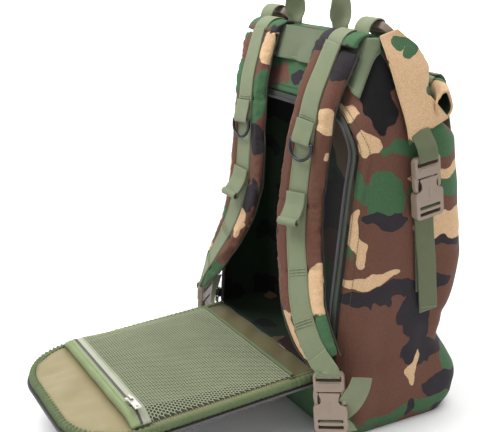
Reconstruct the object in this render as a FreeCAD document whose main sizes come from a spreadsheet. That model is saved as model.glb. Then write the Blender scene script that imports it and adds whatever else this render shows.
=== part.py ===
import FreeCAD, Part
import math
import os
import Sketcher
from FreeCAD import Matrix, Placement, Rotation, Vector

# Hunting backpack, millimetres.  +Z up, the wearer's side is -Y, the wearer's left is +X.
# The origin is on the floor at the centre of the base.  The back panel is stored open, like a
# drawbridge, and every soft wall is a thin closed solid.

doc = FreeCAD.newDocument("hunting_backpack")

# ---------------------------------------------------------------- driving dimensions
SIZES = [
    ("bag_height", 484, "floor to the top back seam"),
    ("wall", 3, "thickness of a fabric wall"),
    ("base_pad", 6, "padding inside the base"),
    ("opening_half_width", 141, "half width of the back opening"),
    ("opening_bottom", 79, "height of the panel hinge above the floor"),
    ("opening_top", 402, "height of the top of the back opening"),
    ("opening_corner", 55, "radius of the upper corners of the opening"),
    ("tape_width", 7, "visible width of the zip tape on the bag"),
    ("hinge_depth", 94, "distance of the panel hinge behind the origin"),
    ("panel_half_width", 128, "half width of the back panel"),
    ("panel_length", 307, "hinge to tip of the back panel"),
    ("panel_corner", 78, "corner radius at the panel's tip"),
    ("panel_tilt", 3, "how far the open panel's tip hangs, degrees"),
    ("panel_close", 98, "turn of the panel from open to closed, degrees"),
    ("face_thick", 1.5, "outer face cloth of the panel"),
    ("foam_thick", 7, "foam board of the panel"),
    ("lining_thick", 1.2, "lining cloth of the panel"),
    ("binding_wide", 9, "width of the binding on each face"),
    ("pocket_mouth", 228, "hinge to mouth of the mesh pocket"),
    ("pocket_start", 34, "hinge to sewn end of the mesh pocket"),
    ("web_width", 28, "webbing width"),
    ("web_thick", 1.6, "webbing thickness"),
    ("strap_width", 74, "width of a padded shoulder strap"),
    ("strap_cover", 1.6, "cover cloth of a strap"),
    ("strap_foam", 9.4, "foam of a strap"),
    ("strap_mesh", 2.4, "spacer mesh under a strap"),
    ("buckle_width", 40, "width of a side-release buckle"),
    ("buckle_thick", 11, "thickness of the buckle's socket half"),
    ("socket_length", 50, "length of the buckle's socket half"),
    ("plug_length", 25, "visible length of the buckle's plug half"),
    ("ring_inside", 30, "inner width of a D-ring"),
    ("ring_wire", 3.8, "wire diameter of a D-ring"),
    ("handle_height", 62, "carry handle above the top seam"),
    ("handle_span", 100, "between the carry handle's two legs"),
    ("handle_web", 26, "width of the carry handle's webbing"),
    ("roll_depth", 26, "front to back size of the rolled top"),
    ("roll_height", 42, "height of the rolled top"),
]

sheet = doc.addObject("Spreadsheet::Sheet", "sizes")
for row, (alias, value, note) in enumerate(SIZES, start=1):
    sheet.set(f"A{row}", alias)
    sheet.set(f"B{row}", str(value))
    sheet.set(f"C{row}", note)
    sheet.setAlias(f"B{row}", alias)
doc.recompute()


def size(alias):
    """A driving dimension, read back from the sheet."""
    return float(getattr(sheet, alias))


BAG_HEIGHT = size("bag_height")
WALL = size("wall")
HINGE_Y = -size("hinge_depth")
HINGE_Z = size("opening_bottom")
SIDES = (("left", 1), ("right", -1))   # the wearer's left is +X
BIG = 900                              # larger than the bag, for cutting prisms
NODES = []


# ---------------------------------------------------------------- helpers
def bind(obj, prop, value):
    """Bind a property to a number or to a sheet expression."""
    obj.setExpression(prop, str(value))


def box(name, lengths, low):
    """A Part::Box from its three lengths and its low corner, numbers or sheet expressions."""
    obj = doc.addObject("Part::Box", name)
    for prop, value in zip(("Length", "Width", "Height"), lengths):
        bind(obj, prop, value)
    for axis, value in zip("xyz", low):
        bind(obj, f"Placement.Base.{axis}", value)
    return obj


def fuse(name, objects):
    obj = doc.addObject("Part::MultiFuse", name)
    obj.Shapes = objects
    return obj


def cut(name, base, tool):
    obj = doc.addObject("Part::Cut", name)
    obj.Base = base
    obj.Tool = tool
    return obj


def node(obj, label, placement=None):
    """Name a finished object as a sub-part that is exported."""
    obj.Label = label
    if placement is not None:
        obj.Placement = placement
    NODES.append(obj)
    return obj


def shape_node(label, shape, placement=None):
    """A sub-part whose shape is set directly."""
    obj = doc.addObject("Part::Feature", label)
    obj.Shape = shape
    return node(obj, label, placement)


def axes_at(origin, along, outward):
    """Placement with local Y along the webbing and local Z pointing outward."""
    y = Vector(along).normalize()
    z = Vector(outward)
    z = (z - y * z.dot(y)).normalize()
    x = y.cross(z)
    o = Vector(origin)
    return Placement(Matrix(x.x, y.x, z.x, o.x, x.y, y.y, z.y, o.y, x.z, y.z, z.z, o.z, 0, 0, 0, 1))


def prism(points, axis):
    """A prism of a flat outline, through the whole bag along the axis (0 = X, 1 = Y)."""
    if axis == 0:
        corners = [Vector(-BIG / 2, a, b) for a, b in points]
        run = Vector(BIG, 0, 0)
    else:
        corners = [Vector(a, -BIG / 2, b) for a, b in points]
        run = Vector(0, BIG, 0)
    return Part.Face(Part.makePolygon(corners + corners[:1])).extrude(run)


def slab(x0, x1, y0, y1, z0, z1):
    return Part.makeBox(x1 - x0, y1 - y0, z1 - z0, Vector(x0, y0, z0))


# ---------------------------------------------------------------- bag outline
# height, half width, back, front, corner radius of each level of the filled bag
LEVELS = [
    (0, 154, -88, 102, 42),
    (12, 161, -89, 112, 43),
    (50, 165, -93, 121, 45),
    (105, 160, -92, 103, 42),
    (170, 158, -88, 115, 42),
    (223, 157, -83, 115, 42),
    (313, 156, -74, 102, 40),
    (370, 154, -66, 90, 38),
    (384, 153, -64, 55, 34),
    (437, 142, -50, 50, 30),
    (470, 131, -42, 4, 18),
    (BAG_HEIGHT, 125, -36, -16, 8),
]


def level_wire(half, back, front, corner, height, grow):
    """A rounded rectangle at one height, grown outward by an allowance."""
    half, back, front, corner = half + grow, back - grow, front + grow, corner + grow
    edges = []
    centres = [(half - corner, front - corner, 0), (corner - half, front - corner, 90),
               (corner - half, back + corner, 180), (half - corner, back + corner, 270)]
    points = []
    for cx, cy, start in centres:
        arc = [math.radians(start + turn) for turn in (0, 45, 90)]
        points.append([Vector(cx + corner * math.cos(a), cy + corner * math.sin(a), height) for a in arc])
    for index, arc in enumerate(points):
        edges.append(Part.Arc(*arc).toShape())
        edges.append(Part.LineSegment(arc[2], points[(index + 1) % 4][0]).toShape())
    return Part.Wire(edges)


def bag_solid(grow):
    """The filled bag, grown outward, or inward with a negative allowance."""
    wires = []
    for height, half, back, front, corner in LEVELS:
        if height == 0:
            height -= grow
        if height == BAG_HEIGHT:
            height += grow
        wires.append(level_wire(half, back, front, corner, height, grow))
    return Part.makeLoft(wires, True, True)


def opening_face(inset, y):
    """Inverted U outline of the back opening, drawn on a plane of constant Y."""
    half = size("opening_half_width") - inset
    top = size("opening_top") - inset
    low = size("opening_bottom")
    corner = size("opening_corner") - inset
    diagonal = corner * math.sqrt(0.5)
    right = Part.Arc(Vector(half, y, top - corner),
                     Vector(half - corner + diagonal, y, top - corner + diagonal),
                     Vector(half - corner, y, top))
    left = Part.Arc(Vector(corner - half, y, top),
                    Vector(corner - half - diagonal, y, top - corner + diagonal),
                    Vector(-half, y, top - corner))
    edges = [
        Part.LineSegment(Vector(-half, y, low), Vector(half, y, low)),
        Part.LineSegment(Vector(half, y, low), Vector(half, y, top - corner)),
        right,
        Part.LineSegment(Vector(half - corner, y, top), Vector(corner - half, y, top)),
        left,
        Part.LineSegment(Vector(-half, y, top - corner), Vector(-half, y, low)),
    ]
    return Part.Face(Part.Wire([edge.toShape() for edge in edges]))


def opening_prism(inset=0):
    """The opening's outline run through the back wall."""
    return opening_face(inset, -150).extrude(Vector(0, 140, 0))


# ---------------------------------------------------------------- bag walls
outer = bag_solid(0)
shell = outer.cut(bag_solid(-WALL)).cut(opening_prism())

BASE_TOP = 14
COVER_LOW = 384
SIDE_X = 112
FRONT_Y = 48


def bag_walls():
    """Cut the shell into the panels it is sewn from."""
    body = slab(-BIG, BIG, -BIG, BIG, BASE_TOP, COVER_LOW)
    yield "base_panel", slab(-BIG, BIG, -BIG, BIG, -BIG, BASE_TOP)
    yield "top_cover", slab(-BIG, BIG, -30, BIG, COVER_LOW, BIG)
    yield "front_panel", slab(-SIDE_X, SIDE_X, FRONT_Y, BIG, BASE_TOP, COVER_LOW)
    yield "back_header", slab(-BIG, BIG, -BIG, -30, COVER_LOW, BIG)
    yield "lower_back", slab(-SIDE_X, SIDE_X, -BIG, -50, BASE_TOP, HINGE_Z)
    for name, sign in SIDES:
        outside = slab(SIDE_X, BIG, -BIG, BIG, BASE_TOP, COVER_LOW)
        if sign < 0:
            outside = slab(-BIG, -SIDE_X, -BIG, BIG, BASE_TOP, COVER_LOW)
        yield f"side_panel_{name}", outside.common(body)


base_pad = bag_solid(-WALL).common(slab(-BIG, BIG, -BIG, BIG, -BIG, WALL + size("base_pad")))
for label, region in bag_walls():
    wall = shell.common(region)
    shape_node(label, wall.fuse(base_pad).removeSplitter() if label == "base_panel" else wall)

# zip tape of the bag: a thin band just inside the opening's edge
tape_skin = bag_solid(-0.4).cut(bag_solid(-2.0))
tape_ring = opening_prism(0.3).cut(opening_prism(size("tape_width")))
tape_ring = tape_ring.common(slab(-BIG, BIG, -BIG, 0, HINGE_Z + 12, BIG))
shape_node("bag_zip_tape", tape_skin.common(tape_ring))

# yoke: a webbing-cloth flap over the top of the back
YOKE = [(-151, 412), (-118, 436), (-60, 444), (60, 444), (118, 436), (151, 412), (151, 483), (-151, 483)]
yoke_skin = bag_solid(2.0).cut(bag_solid(0.3)).common(prism(YOKE, 1))
shape_node("yoke", yoke_skin.common(slab(-BIG, BIG, -BIG, -32, 400, 482)))

# lid wings: the folded sides of the top, lying over the side panels
WING = [(-27, 481), (-4, 368), (28, 370), (64, 386), (48, 388), (49, 436), (10, 466), (-14, 481)]
wing_skin = bag_solid(6.0).cut(bag_solid(2.4)).common(prism(WING, 0))
for name, sign in SIDES:
    half_space = slab(100, BIG, -BIG, BIG, 300, BIG) if sign > 0 else slab(-BIG, -100, -BIG, BIG, 300, BIG)
    shape_node(f"lid_wing_{name}", wing_skin.common(half_space))

# the rolled top: a flattened tube along the front edge, open at both ends
ROLL_Y, ROLL_Z, ROLL_HALF = 69, 412, 156


def oval_tube(depth, height, length):
    """A solid bar of oval section along X, centred on the origin."""
    oval = Part.Ellipse(Vector(0, 0, 0), height / 2, depth / 2).toShape()
    face = Part.Face(Part.Wire([oval]))
    face.rotate(Vector(0, 0, 0), Vector(0, 1, 0), 90)
    return face.extrude(Vector(length, 0, 0)).translate(Vector(-length / 2, 0, 0))


ROLL_SHEET = 3
roll_outer = oval_tube(size("roll_depth"), size("roll_height"), 2 * ROLL_HALF)
roll_inner = oval_tube(size("roll_depth") - 2 * ROLL_SHEET, size("roll_height") - 2 * ROLL_SHEET, BIG)
shape_node("top_roll", roll_outer.cut(roll_inner), Placement(Vector(0, ROLL_Y, ROLL_Z), Rotation()))


# ---------------------------------------------------------------- ribbons of cloth and webbing
def ribbon(points, half_widths, twists, low, high):
    """A closed strip along a path, between two heights above the path on its outer side.

    Each cross-section is a rectangle whose width lies level and is turned by the twist.
    """
    wires = []
    for index, point in enumerate(points):
        before = points[max(index - 1, 0)]
        after = points[min(index + 1, len(points) - 1)]
        along = (after - before).normalize()
        angle = math.radians(twists[index])
        across = Vector(math.cos(angle), math.sin(angle), 0)
        across = (across - along * across.dot(along)).normalize()
        outward = along.cross(across)
        if outward.y > 0:
            outward = outward * -1
        half = half_widths[index]
        corners = [point + across * (side * half) + outward * rise
                   for side, rise in ((-1, low), (1, low), (1, high), (-1, high))]
        wires.append(Part.makePolygon(corners + corners[:1]))
    return Part.makeLoft(wires, True, True)


def strip(points, width, thick, outward):
    """A flat strip of webbing through points, its thickness laid on the given outward side."""
    wires = []
    for index, point in enumerate(points):
        before = points[max(index - 1, 0)]
        after = points[min(index + 1, len(points) - 1)]
        along = (after - before).normalize()
        rise = Vector(outward)
        rise = (rise - along * rise.dot(along)).normalize()
        across = along.cross(rise)
        corners = [point + across * (side * width / 2) + rise * lift
                   for side, lift in ((-1, 0), (1, 0), (1, thick), (-1, thick))]
        wires.append(Part.makePolygon(corners + corners[:1]))
    return Part.makeLoft(wires, True, True)


# ---------------------------------------------------------------- carry handle
HANDLE_Y = -27
HANDLE_Z = BAG_HEIGHT + 2
HANDLE_BEND = 28                         # radius of the handle's two upper bends


def handle_shape():
    """An arch of doubled webbing: flat along X where it is sewn, turned edge-on as it rises."""
    half, top = size("handle_span") / 2, size("handle_height")
    quarter = [math.radians(angle) for angle in (0, 30, 60, 90)]
    leg = [(half, 0), (half, 14), (half, top - HANDLE_BEND)]
    bend = [(half - HANDLE_BEND * (1 - math.cos(a)), top - HANDLE_BEND * (1 - math.sin(a))) for a in quarter[1:]]
    rising = leg + bend
    turns = [90, 50, 0] + [0] * len(bend)
    points = rising + [(-x, z) for x, z in reversed(rising)]
    turns = turns + turns[::-1]
    thick, wide = size("web_thick"), size("handle_web") / 2
    wires = []
    for index, (x, z) in enumerate(points):
        before, after = points[max(index - 1, 0)], points[min(index + 1, len(points) - 1)]
        along = Vector(after[0] - before[0], 0, after[1] - before[1]).normalize()
        side = Vector(0, 1, 0).cross(along)
        turn = math.radians(turns[index])
        across = Vector(0, 1, 0) * math.cos(turn) + side * math.sin(turn)
        rise = along.cross(across)
        centre = Vector(x, HANDLE_Y, HANDLE_Z + z)
        corners = [centre + across * (a * wide) + rise * (b * thick)
                   for a, b in ((-1, -1), (1, -1), (1, 1), (-1, 1))]
        wires.append(Part.makePolygon(corners + corners[:1]))
    return Part.makeLoft(wires, True, True)


shape_node("carry_handle", handle_shape())


# ---------------------------------------------------------------- side-release buckle
def buckle_plug(label, placement):
    """The plug half: a webbing bar, two prongs and a guide.  Local Y runs along the webbing."""
    base = box(f"{label}_base", ("sizes.buckle_width-3", "sizes.plug_length-0.6", "sizes.buckle_thick-2"),
               ("-(sizes.buckle_width-3)/2", 0.6, "-(sizes.buckle_thick-2)/2"))
    window = box(f"{label}_window", ("sizes.web_width+2", 6, "sizes.buckle_thick+4"),
                 ("-(sizes.web_width+2)/2", "sizes.plug_length-10", "-(sizes.buckle_thick+4)/2"))
    pieces = [cut(f"{label}_frame", base, window)]
    for side in (-1, 1):
        pieces.append(box(f"{label}_prong", (4, 27, 5.6), (side * 10.5 - 2, -26, -2.8)))
        pieces.append(box(f"{label}_head", (7, 9, 5.6), (side * 12.6 - 3.5, -26, -2.8)))
    pieces.append(box(f"{label}_guide", (5, 21, 5.6), (-2.5, -20, -2.8)))
    return node(fuse(f"{label}_fuse", pieces), label, placement)


def buckle_socket(label, placement):
    """The socket half: a hollow body with side windows and two slots for adjusting webbing."""
    body = box(f"{label}_body", ("sizes.buckle_width", "sizes.socket_length", "sizes.buckle_thick"),
               ("-sizes.buckle_width/2", "-sizes.socket_length", "-sizes.buckle_thick/2"))
    half = size("buckle_width") / 2
    tools = [
        box(f"{label}_cavity", ("sizes.buckle_width-5", 32, "sizes.buckle_thick-4.4"),
            ("-(sizes.buckle_width-5)/2", -31, "-(sizes.buckle_thick-4.4)/2")),
        box(f"{label}_slot_near", ("sizes.web_width+2", 4, 30), ("-(sizes.web_width+2)/2", -38, -15)),
        box(f"{label}_slot_far", ("sizes.web_width+2", 4.6, 30), ("-(sizes.web_width+2)/2", -46, -15)),
    ]
    for side in (-1, 1):
        low = half - 5.5 if side > 0 else -half - 1
        tools.append(box(f"{label}_notch", (6.5, 15, 30), (low, -28, -15)))
    return node(cut(f"{label}_cut", body, fuse(f"{label}_tools", tools)), label, placement)


# ---------------------------------------------------------------- side compression webbing
WEB = size("web_width")
WEB_T = size("web_thick")
SIDE_WEB_T = 1.3                         # the side webbing lies pulled flat on the bag
OVER_BAR = [Vector(0, 26, 5.4), Vector(0, 20.6, 5.2), Vector(0, 18, -1)]   # round the plug's bar, buckle axes
SIDE_BUCKLE = Vector(167.5, 19, 327)     # where plug and socket meet
SIDE_ALONG = Vector(0, -0.13, 0.99)


def mirrored(vector, sign):
    return Vector(sign * vector.x, vector.y, vector.z)


for name, sign in SIDES:
    out = Vector(sign, 0, 0)
    place = axes_at(mirrored(SIDE_BUCKLE, sign), SIDE_ALONG, out)
    buckle_plug(f"side_plug_{name}", place)
    buckle_socket(f"side_socket_{name}", place)
    sewn = [Vector(158.3, 20, 330), Vector(158.5, 27, 262), Vector(160, 34, 178)]
    tail = [Vector(160, 22, 300), Vector(160.2, 28.5, 250), Vector(161.6, 33, 215), Vector(162.4, 40, 152)]
    shapes = [strip([mirrored(p, sign) for p in path], WEB, SIDE_WEB_T, out) for path in (sewn, tail)]
    upper = [Vector(0, 42, -4.5), Vector(0, 34, 1.5), Vector(0, 28, 5)] + OVER_BAR
    shapes.append(strip([place.multVec(p) for p in upper], WEB, SIDE_WEB_T, out))
    shape_node(f"side_web_{name}", Part.makeCompound(shapes))


# ---------------------------------------------------------------- top webbing over the lid
TOP_X = 106
TOP_ALONG = Vector(0, -0.813, 0.582)     # up the lid's slope
TOP_OUT = Vector(0, 0.582, 0.813)
TOP_BUCKLE = Vector(TOP_X, -1.3, 483.5)
ROLL_GAP = 1.8                           # webbing above the roll


def over_roll(angle):
    """A point on the roll's front, just clear of its surface."""
    turn = math.radians(angle)
    return Vector(TOP_X, ROLL_Y + (size("roll_depth") / 2 + ROLL_GAP) * math.cos(turn),
                  ROLL_Z + (size("roll_height") / 2 + ROLL_GAP) * math.sin(turn))


for name, sign in SIDES:
    place = axes_at(mirrored(TOP_BUCKLE, sign), TOP_ALONG, TOP_OUT)
    buckle_plug(f"top_plug_{name}", place)
    buckle_socket(f"top_socket_{name}", place)
    crest = [Vector(sign * TOP_X, -34.5, 489), Vector(sign * TOP_X, -32, 496), Vector(sign * TOP_X, -27.5, 501.5)]
    crest += [place.multVec(p) for p in OVER_BAR]
    front = [over_roll(angle) for angle in (135, 105, 75, 45, 15, -15)]
    front += [Vector(TOP_X, 89, 388), Vector(TOP_X, 92.5, 372), Vector(TOP_X, 98, 345)]
    shapes = [strip(crest, WEB, WEB_T, Vector(0, -1, 1)),
              strip([mirrored(p, sign) for p in front], WEB, WEB_T, Vector(0, 1, 0.6))]
    shape_node(f"top_web_{name}", Part.makeCompound(shapes))


# ---------------------------------------------------------------- shoulder straps
STRAP_PATH = [
    Vector(84, -52, 474), Vector(81, -62, 448), Vector(76, -75, 410), Vector(71, -82, 360),
    Vector(68, -86, 318), Vector(68, -89, 283), Vector(74, -94, 246), Vector(88, -100, 208),
    Vector(106, -108, 172), Vector(130, -111, 138), Vector(153, -107, 110),
]
# turn of the strap's face about the vertical at each point of the path, degrees
STRAP_TWIST = {
    "left": [0, 2, 6, 15, 18, 20, 22, 26, 32, 40, 46],
    "right": [0, 2, 4, 6, 8, 8, 2, -8, -20, -34, -46],
}
STRAP_TAPER = [1, 1, 1, 1, 1, 1, 1, 0.98, 0.9, 0.74, 0.5]
COVER, FOAM, MESH = size("strap_cover"), size("strap_foam"), size("strap_mesh")
STRAP_HALF = (COVER + FOAM + MESH) / 2
WEB_LIFT = 0.6                           # webbing above the cover cloth
RING_POINT, TAB_POINT = 3, 5             # path points of the D-ring and of the pull tab
STRAP_BUCKLE = Vector(164, -105, 78)     # where plug and socket meet
STRAP_UP = Vector(-0.12, -0.02, 1)
BUCKLE_TURN = 50


# A strap swings about a line from its bottom corner to the outer corner of its top seam.
SWING_LOW = Vector(178, -85, 15)
SWING_TOP = Vector(122, -53, 476)


def face_out(sign, angle):
    """Outward direction of a face turned about the vertical, for either side."""
    turn = math.radians(angle)
    return Vector(sign * math.sin(turn), -math.cos(turn), 0)


def d_ring_shape():
    """A D-ring with its bar on the local X axis and its bow towards local -Y."""
    wire = size("ring_wire") / 2
    half = size("ring_inside") / 2 + wire
    leg = 5
    bow = Part.makeTorus(half, wire, Vector(0, -leg, 0), Vector(0, 0, 1), -180, 180, 180)
    bow.rotate(Vector(0, -leg, 0), Vector(0, 0, 1), 180)
    pieces = [Part.makeCylinder(wire, 2 * half, Vector(-half, 0, 0), Vector(1, 0, 0))]
    for side in (-1, 1):
        pieces.append(Part.makeCylinder(wire, leg, Vector(side * half, -leg, 0), Vector(0, 1, 0)))
        pieces.append(Part.makeSphere(wire, Vector(side * half, 0, 0)))
    return bow.multiFuse(pieces)


def ring_loop_shape():
    """Webbing folded round the D-ring's bar and sewn down above it."""
    inner = size("ring_wire") / 2 + 0.3
    outer = inner + WEB_T
    fold = [math.radians(270 - 22.5 * step) for step in range(9)]

    def section(radius, thick, end):
        below = [Vector(-WEB / 2, end, -radius)]
        bend = [Vector(-WEB / 2, radius * math.cos(a), radius * math.sin(a)) for a in fold]
        front = [Vector(-WEB / 2, 8, inner - 1 + thick), Vector(-WEB / 2, end, thick - inner)]
        outline = below + bend + front
        return Part.Face(Part.makePolygon(outline + outline[:1])).extrude(Vector(WEB, 0, 0))

    return section(outer, WEB_T, 28).cut(section(inner, 0, 22))


def tab_shape():
    """A short folded end of webbing that stands off the strap and ends in a roll."""
    flap = strip([Vector(0, 15, 0), Vector(0, 2, 0), Vector(0, -13, 7), Vector(0, -20, 11.5)],
                 WEB, 2 * WEB_T, Vector(0, 0, 1))
    roll = Part.makeCylinder(3.6, WEB, Vector(-WEB / 2, -20, 13), Vector(1, 0, 0))
    return flap.fuse(roll)


def plug_web_shape():
    """Webbing from the end of the pad over the plug's bar and into its window, in buckle axes."""
    return strip([Vector(0, 33, 5.6)] + OVER_BAR, WEB, WEB_T, Vector(0, 0.3, 1))


for name, sign in SIDES:
    path = [mirrored(point, sign) for point in STRAP_PATH]
    twist = STRAP_TWIST[name]
    half = [size("strap_width") / 2 * part for part in STRAP_TAPER]
    foam_half = [width - 2 for width in half]
    low, mesh_top, foam_top = -STRAP_HALF, MESH - STRAP_HALF, STRAP_HALF - COVER
    shape_node(f"strap_mesh_{name}", ribbon(path, half, twist, low, mesh_top))
    shape_node(f"strap_foam_{name}", ribbon(path, foam_half, twist, mesh_top, foam_top))
    shape_node(f"strap_cover_{name}", ribbon(path, half, twist, foam_top, STRAP_HALF))

    def on_strap(index, lift):
        """Axes on the strap's face at a path point, raised by a lift."""
        up = path[index - 1] - path[index + 1]
        out = face_out(1, twist[index])
        out = (out - up * (out.dot(up) / up.dot(up))).normalize()
        return axes_at(path[index] + out * (STRAP_HALF + WEB_LIFT + lift), up, out)

    buckle_at = axes_at(mirrored(STRAP_BUCKLE, sign), mirrored(STRAP_UP, sign), face_out(sign, BUCKLE_TURN))
    main_web = ribbon(path, [WEB / 2] * len(path), twist, STRAP_HALF + WEB_LIFT, STRAP_HALF + WEB_LIFT + WEB_T)
    ring_at = on_strap(RING_POINT, 2 * WEB_T + 0.3 + size("ring_wire") / 2 + 0.3)
    loop = ring_loop_shape()
    loop.Placement = ring_at
    plug_web = plug_web_shape()
    plug_web.Placement = buckle_at
    shape_node(f"strap_web_{name}", Part.makeCompound([main_web, loop, plug_web]))
    shape_node(f"d_ring_{name}", d_ring_shape(), ring_at)
    shape_node(f"strap_tab_{name}", tab_shape(), on_strap(TAB_POINT, WEB_T + 1))
    buckle_plug(f"strap_plug_{name}", buckle_at)
    buckle_socket(f"strap_socket_{name}", buckle_at)

    # behind the socket: the webbing to the bag's bottom corner, and its free end
    behind = [buckle_at.multVec(Vector(0, y, -8.6)) for y in (-38, -47)]
    lower = behind + [mirrored(Vector(167, -84, 25), sign), mirrored(Vector(162, -76, 15), sign)]
    tail = [buckle_at.multVec(Vector(sign * 8, y, -12.5)) for y in (-42, -28, -14)]
    shapes = [strip(path_points, WEB, WEB_T, face_out(sign, BUCKLE_TURN)) for path_points in (lower, tail)]
    shape_node(f"strap_tail_{name}", Part.makeCompound(shapes))

    root = [Vector(84, -30, 485), Vector(84, -43, 484), Vector(84, -51.5, 481)]
    root_strip = strip([mirrored(p, sign) for p in root], size("strap_width"), 2.8, Vector(0, -0.5, 1))
    shape_node(f"strap_root_{name}", root_strip)


# ---------------------------------------------------------------- back panel
PANEL_AT = Placement(Vector(0, HINGE_Y, HINGE_Z), Rotation(Vector(1, 0, 0), size("panel_tilt")))
PANEL_LOW = -5.0                         # outer face of the panel below the hinge line
BINDING_T = 1.6


def panel_outline(inset, gap=1.0):
    """The panel's outline in its own plane: straight at the hinge, round at the tip."""
    half, length = size("panel_half_width") - inset, size("panel_length") - inset
    corner = size("panel_corner") - inset
    return half, length, corner, gap


def panel_sketch(body, name, inset):
    """Sketch of the panel's outline, with its width and length bound to the sheet."""
    half, length, corner, gap = panel_outline(inset)
    sketch = body.newObject("Sketcher::SketchObject", name)
    plane = next(f for f in body.Origin.OriginFeatures if f.Role == "XY_Plane")
    sketch.AttachmentSupport = [(plane, "")]
    sketch.MapMode = "FlatFace"
    straight = corner - length
    centre_right, centre_left = Vector(half - corner, straight, 0), Vector(corner - half, straight, 0)
    quarter = math.pi / 2
    normal = Vector(0, 0, 1)
    sketch.addGeometry([
        Part.LineSegment(Vector(-half, -gap, 0), Vector(half, -gap, 0)),
        Part.LineSegment(Vector(half, -gap, 0), Vector(half, straight, 0)),
        Part.ArcOfCircle(Part.Circle(centre_right, normal, corner), -quarter, 0),
        Part.LineSegment(Vector(half - corner, -length, 0), Vector(corner - half, -length, 0)),
        Part.ArcOfCircle(Part.Circle(centre_left, normal, corner), math.pi, 3 * quarter),
        Part.LineSegment(Vector(-half, straight, 0), Vector(-half, -gap, 0)),
    ], False)
    sketch.addConstraint([
        Sketcher.Constraint("Coincident", 0, 2, 1, 1),
        Sketcher.Constraint("Tangent", 1, 2, 2, 2),
        Sketcher.Constraint("Tangent", 2, 1, 3, 1),
        Sketcher.Constraint("Tangent", 3, 2, 4, 2),
        Sketcher.Constraint("Tangent", 4, 1, 5, 1),
        Sketcher.Constraint("Coincident", 5, 2, 0, 1),
        Sketcher.Constraint("Horizontal", 3),
        Sketcher.Constraint("Vertical", 1),
        Sketcher.Constraint("Vertical", 5),
        Sketcher.Constraint("Symmetric", 0, 1, 0, 2, -2),
        Sketcher.Constraint("Equal", 2, 4),
    ])
    for kind, refs, value, formula in (
        ("DistanceX", (0, 1, 0, 2), 2 * half, f"2*(sizes.panel_half_width-{inset})"),
        ("DistanceY", (3, 1, -1, 1), length, f"sizes.panel_length-{inset}"),
        ("DistanceY", (0, 1, -1, 1), gap, str(gap)),
        ("Radius", (2,), corner, f"sizes.panel_corner-{inset}"),
    ):
        index = sketch.addConstraint(Sketcher.Constraint(kind, *refs, value))
        sketch.setExpression(f"Constraints[{index}]", formula)
    return sketch


def panel_layer(label, inset, thickness, level):
    """A flat layer of the panel: its outline padded by a thickness from the sheet."""
    body = doc.addObject("PartDesign::Body", label)
    pad = body.newObject("PartDesign::Pad", f"{label}_pad")
    pad.Profile = panel_sketch(body, f"{label}_outline", inset)
    bind(pad, "Length", thickness)
    body.Tip = pad
    return node(body, label, PANEL_AT.multiply(Placement(Vector(0, 0, level), Rotation())))


FACE_T, FOAM_T, LINING_T = size("face_thick"), size("foam_thick"), size("lining_thick")
panel_layer("panel_face", 0, "sizes.face_thick", PANEL_LOW)
panel_layer("panel_foam", 2, "sizes.foam_thick", PANEL_LOW + FACE_T)
panel_layer("panel_lining", 0, "sizes.lining_thick", PANEL_LOW + FACE_T + FOAM_T)
PANEL_TOP = PANEL_LOW + FACE_T + FOAM_T + LINING_T


def panel_block(inset, low, high, gap=1.0):
    """A solid of the panel's outline between two levels, in the panel's axes."""
    half, length, corner, gap = panel_outline(inset, gap)
    diagonal = corner * math.sqrt(0.5)
    straight = corner - length
    edges = [
        Part.LineSegment(Vector(-half, -gap, low), Vector(half, -gap, low)),
        Part.LineSegment(Vector(half, -gap, low), Vector(half, straight, low)),
        Part.Arc(Vector(half, straight, low),
                 Vector(half - corner + diagonal, straight - diagonal, low),
                 Vector(half - corner, -length, low)),
        Part.LineSegment(Vector(half - corner, -length, low), Vector(corner - half, -length, low)),
        Part.Arc(Vector(corner - half, -length, low),
                 Vector(corner - half - diagonal, straight - diagonal, low),
                 Vector(-half, straight, low)),
        Part.LineSegment(Vector(-half, straight, low), Vector(-half, -gap, low)),
    ]
    face = Part.Face(Part.Wire([edge.toShape() for edge in edges]))
    return face.extrude(Vector(0, 0, high - low))


# binding: a folded tape round three sides, and at its outer edge the panel's half of the zip
EDGE_GAP = 0.2
binding = panel_block(-EDGE_GAP - BINDING_T, PANEL_LOW - BINDING_T, PANEL_TOP + BINDING_T, 2)
binding = binding.cut(panel_block(-EDGE_GAP, PANEL_LOW, PANEL_TOP, -5))
binding = binding.cut(panel_block(size("binding_wide"), -40, 40, -5))
shape_node("panel_binding", binding, PANEL_AT)
ZIP_LEVEL = PANEL_LOW - BINDING_T
zip_band = panel_block(-4.6, ZIP_LEVEL - 1.4, ZIP_LEVEL - 0.2, 14).cut(panel_block(6, -40, 40, -5))
shape_node("panel_zip_tape", zip_band, PANEL_AT)

# mesh pocket: a sheet sewn down on three sides and standing open at its mouth
MOUTH, SEWN = size("pocket_mouth"), size("pocket_start")
POCKET_HALF = 112
MOUTH_RISE, MESH_T = 11, 1.4
TOP = PANEL_TOP + BINDING_T + 0.2


def pocket_wedge(inset, lift):
    """The space under the pocket's sheet, closed at the hinge end and high at the mouth."""
    profile = [Vector(0, -SEWN - inset, PANEL_TOP + 0.1), Vector(0, -MOUTH - 40, PANEL_TOP + 0.1),
               Vector(0, -MOUTH - 40, TOP + MOUTH_RISE + lift), Vector(0, -MOUTH, TOP + MOUTH_RISE + lift),
               Vector(0, -MOUTH * 0.6, TOP + 0.75 * MOUTH_RISE + lift), Vector(0, -SEWN - inset - 14, TOP + lift)]
    face = Part.Face(Part.makePolygon(profile + profile[:1]))
    half = POCKET_HALF - inset
    return face.extrude(Vector(2 * half, 0, 0)).translate(Vector(-half, 0, 0))


pocket = pocket_wedge(0, MESH_T).cut(pocket_wedge(MESH_T, 0))
pocket = pocket.common(slab(-BIG, BIG, -MOUTH + 8, 0, 0, 60))
shape_node("mesh_pocket", pocket, PANEL_AT)

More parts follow.
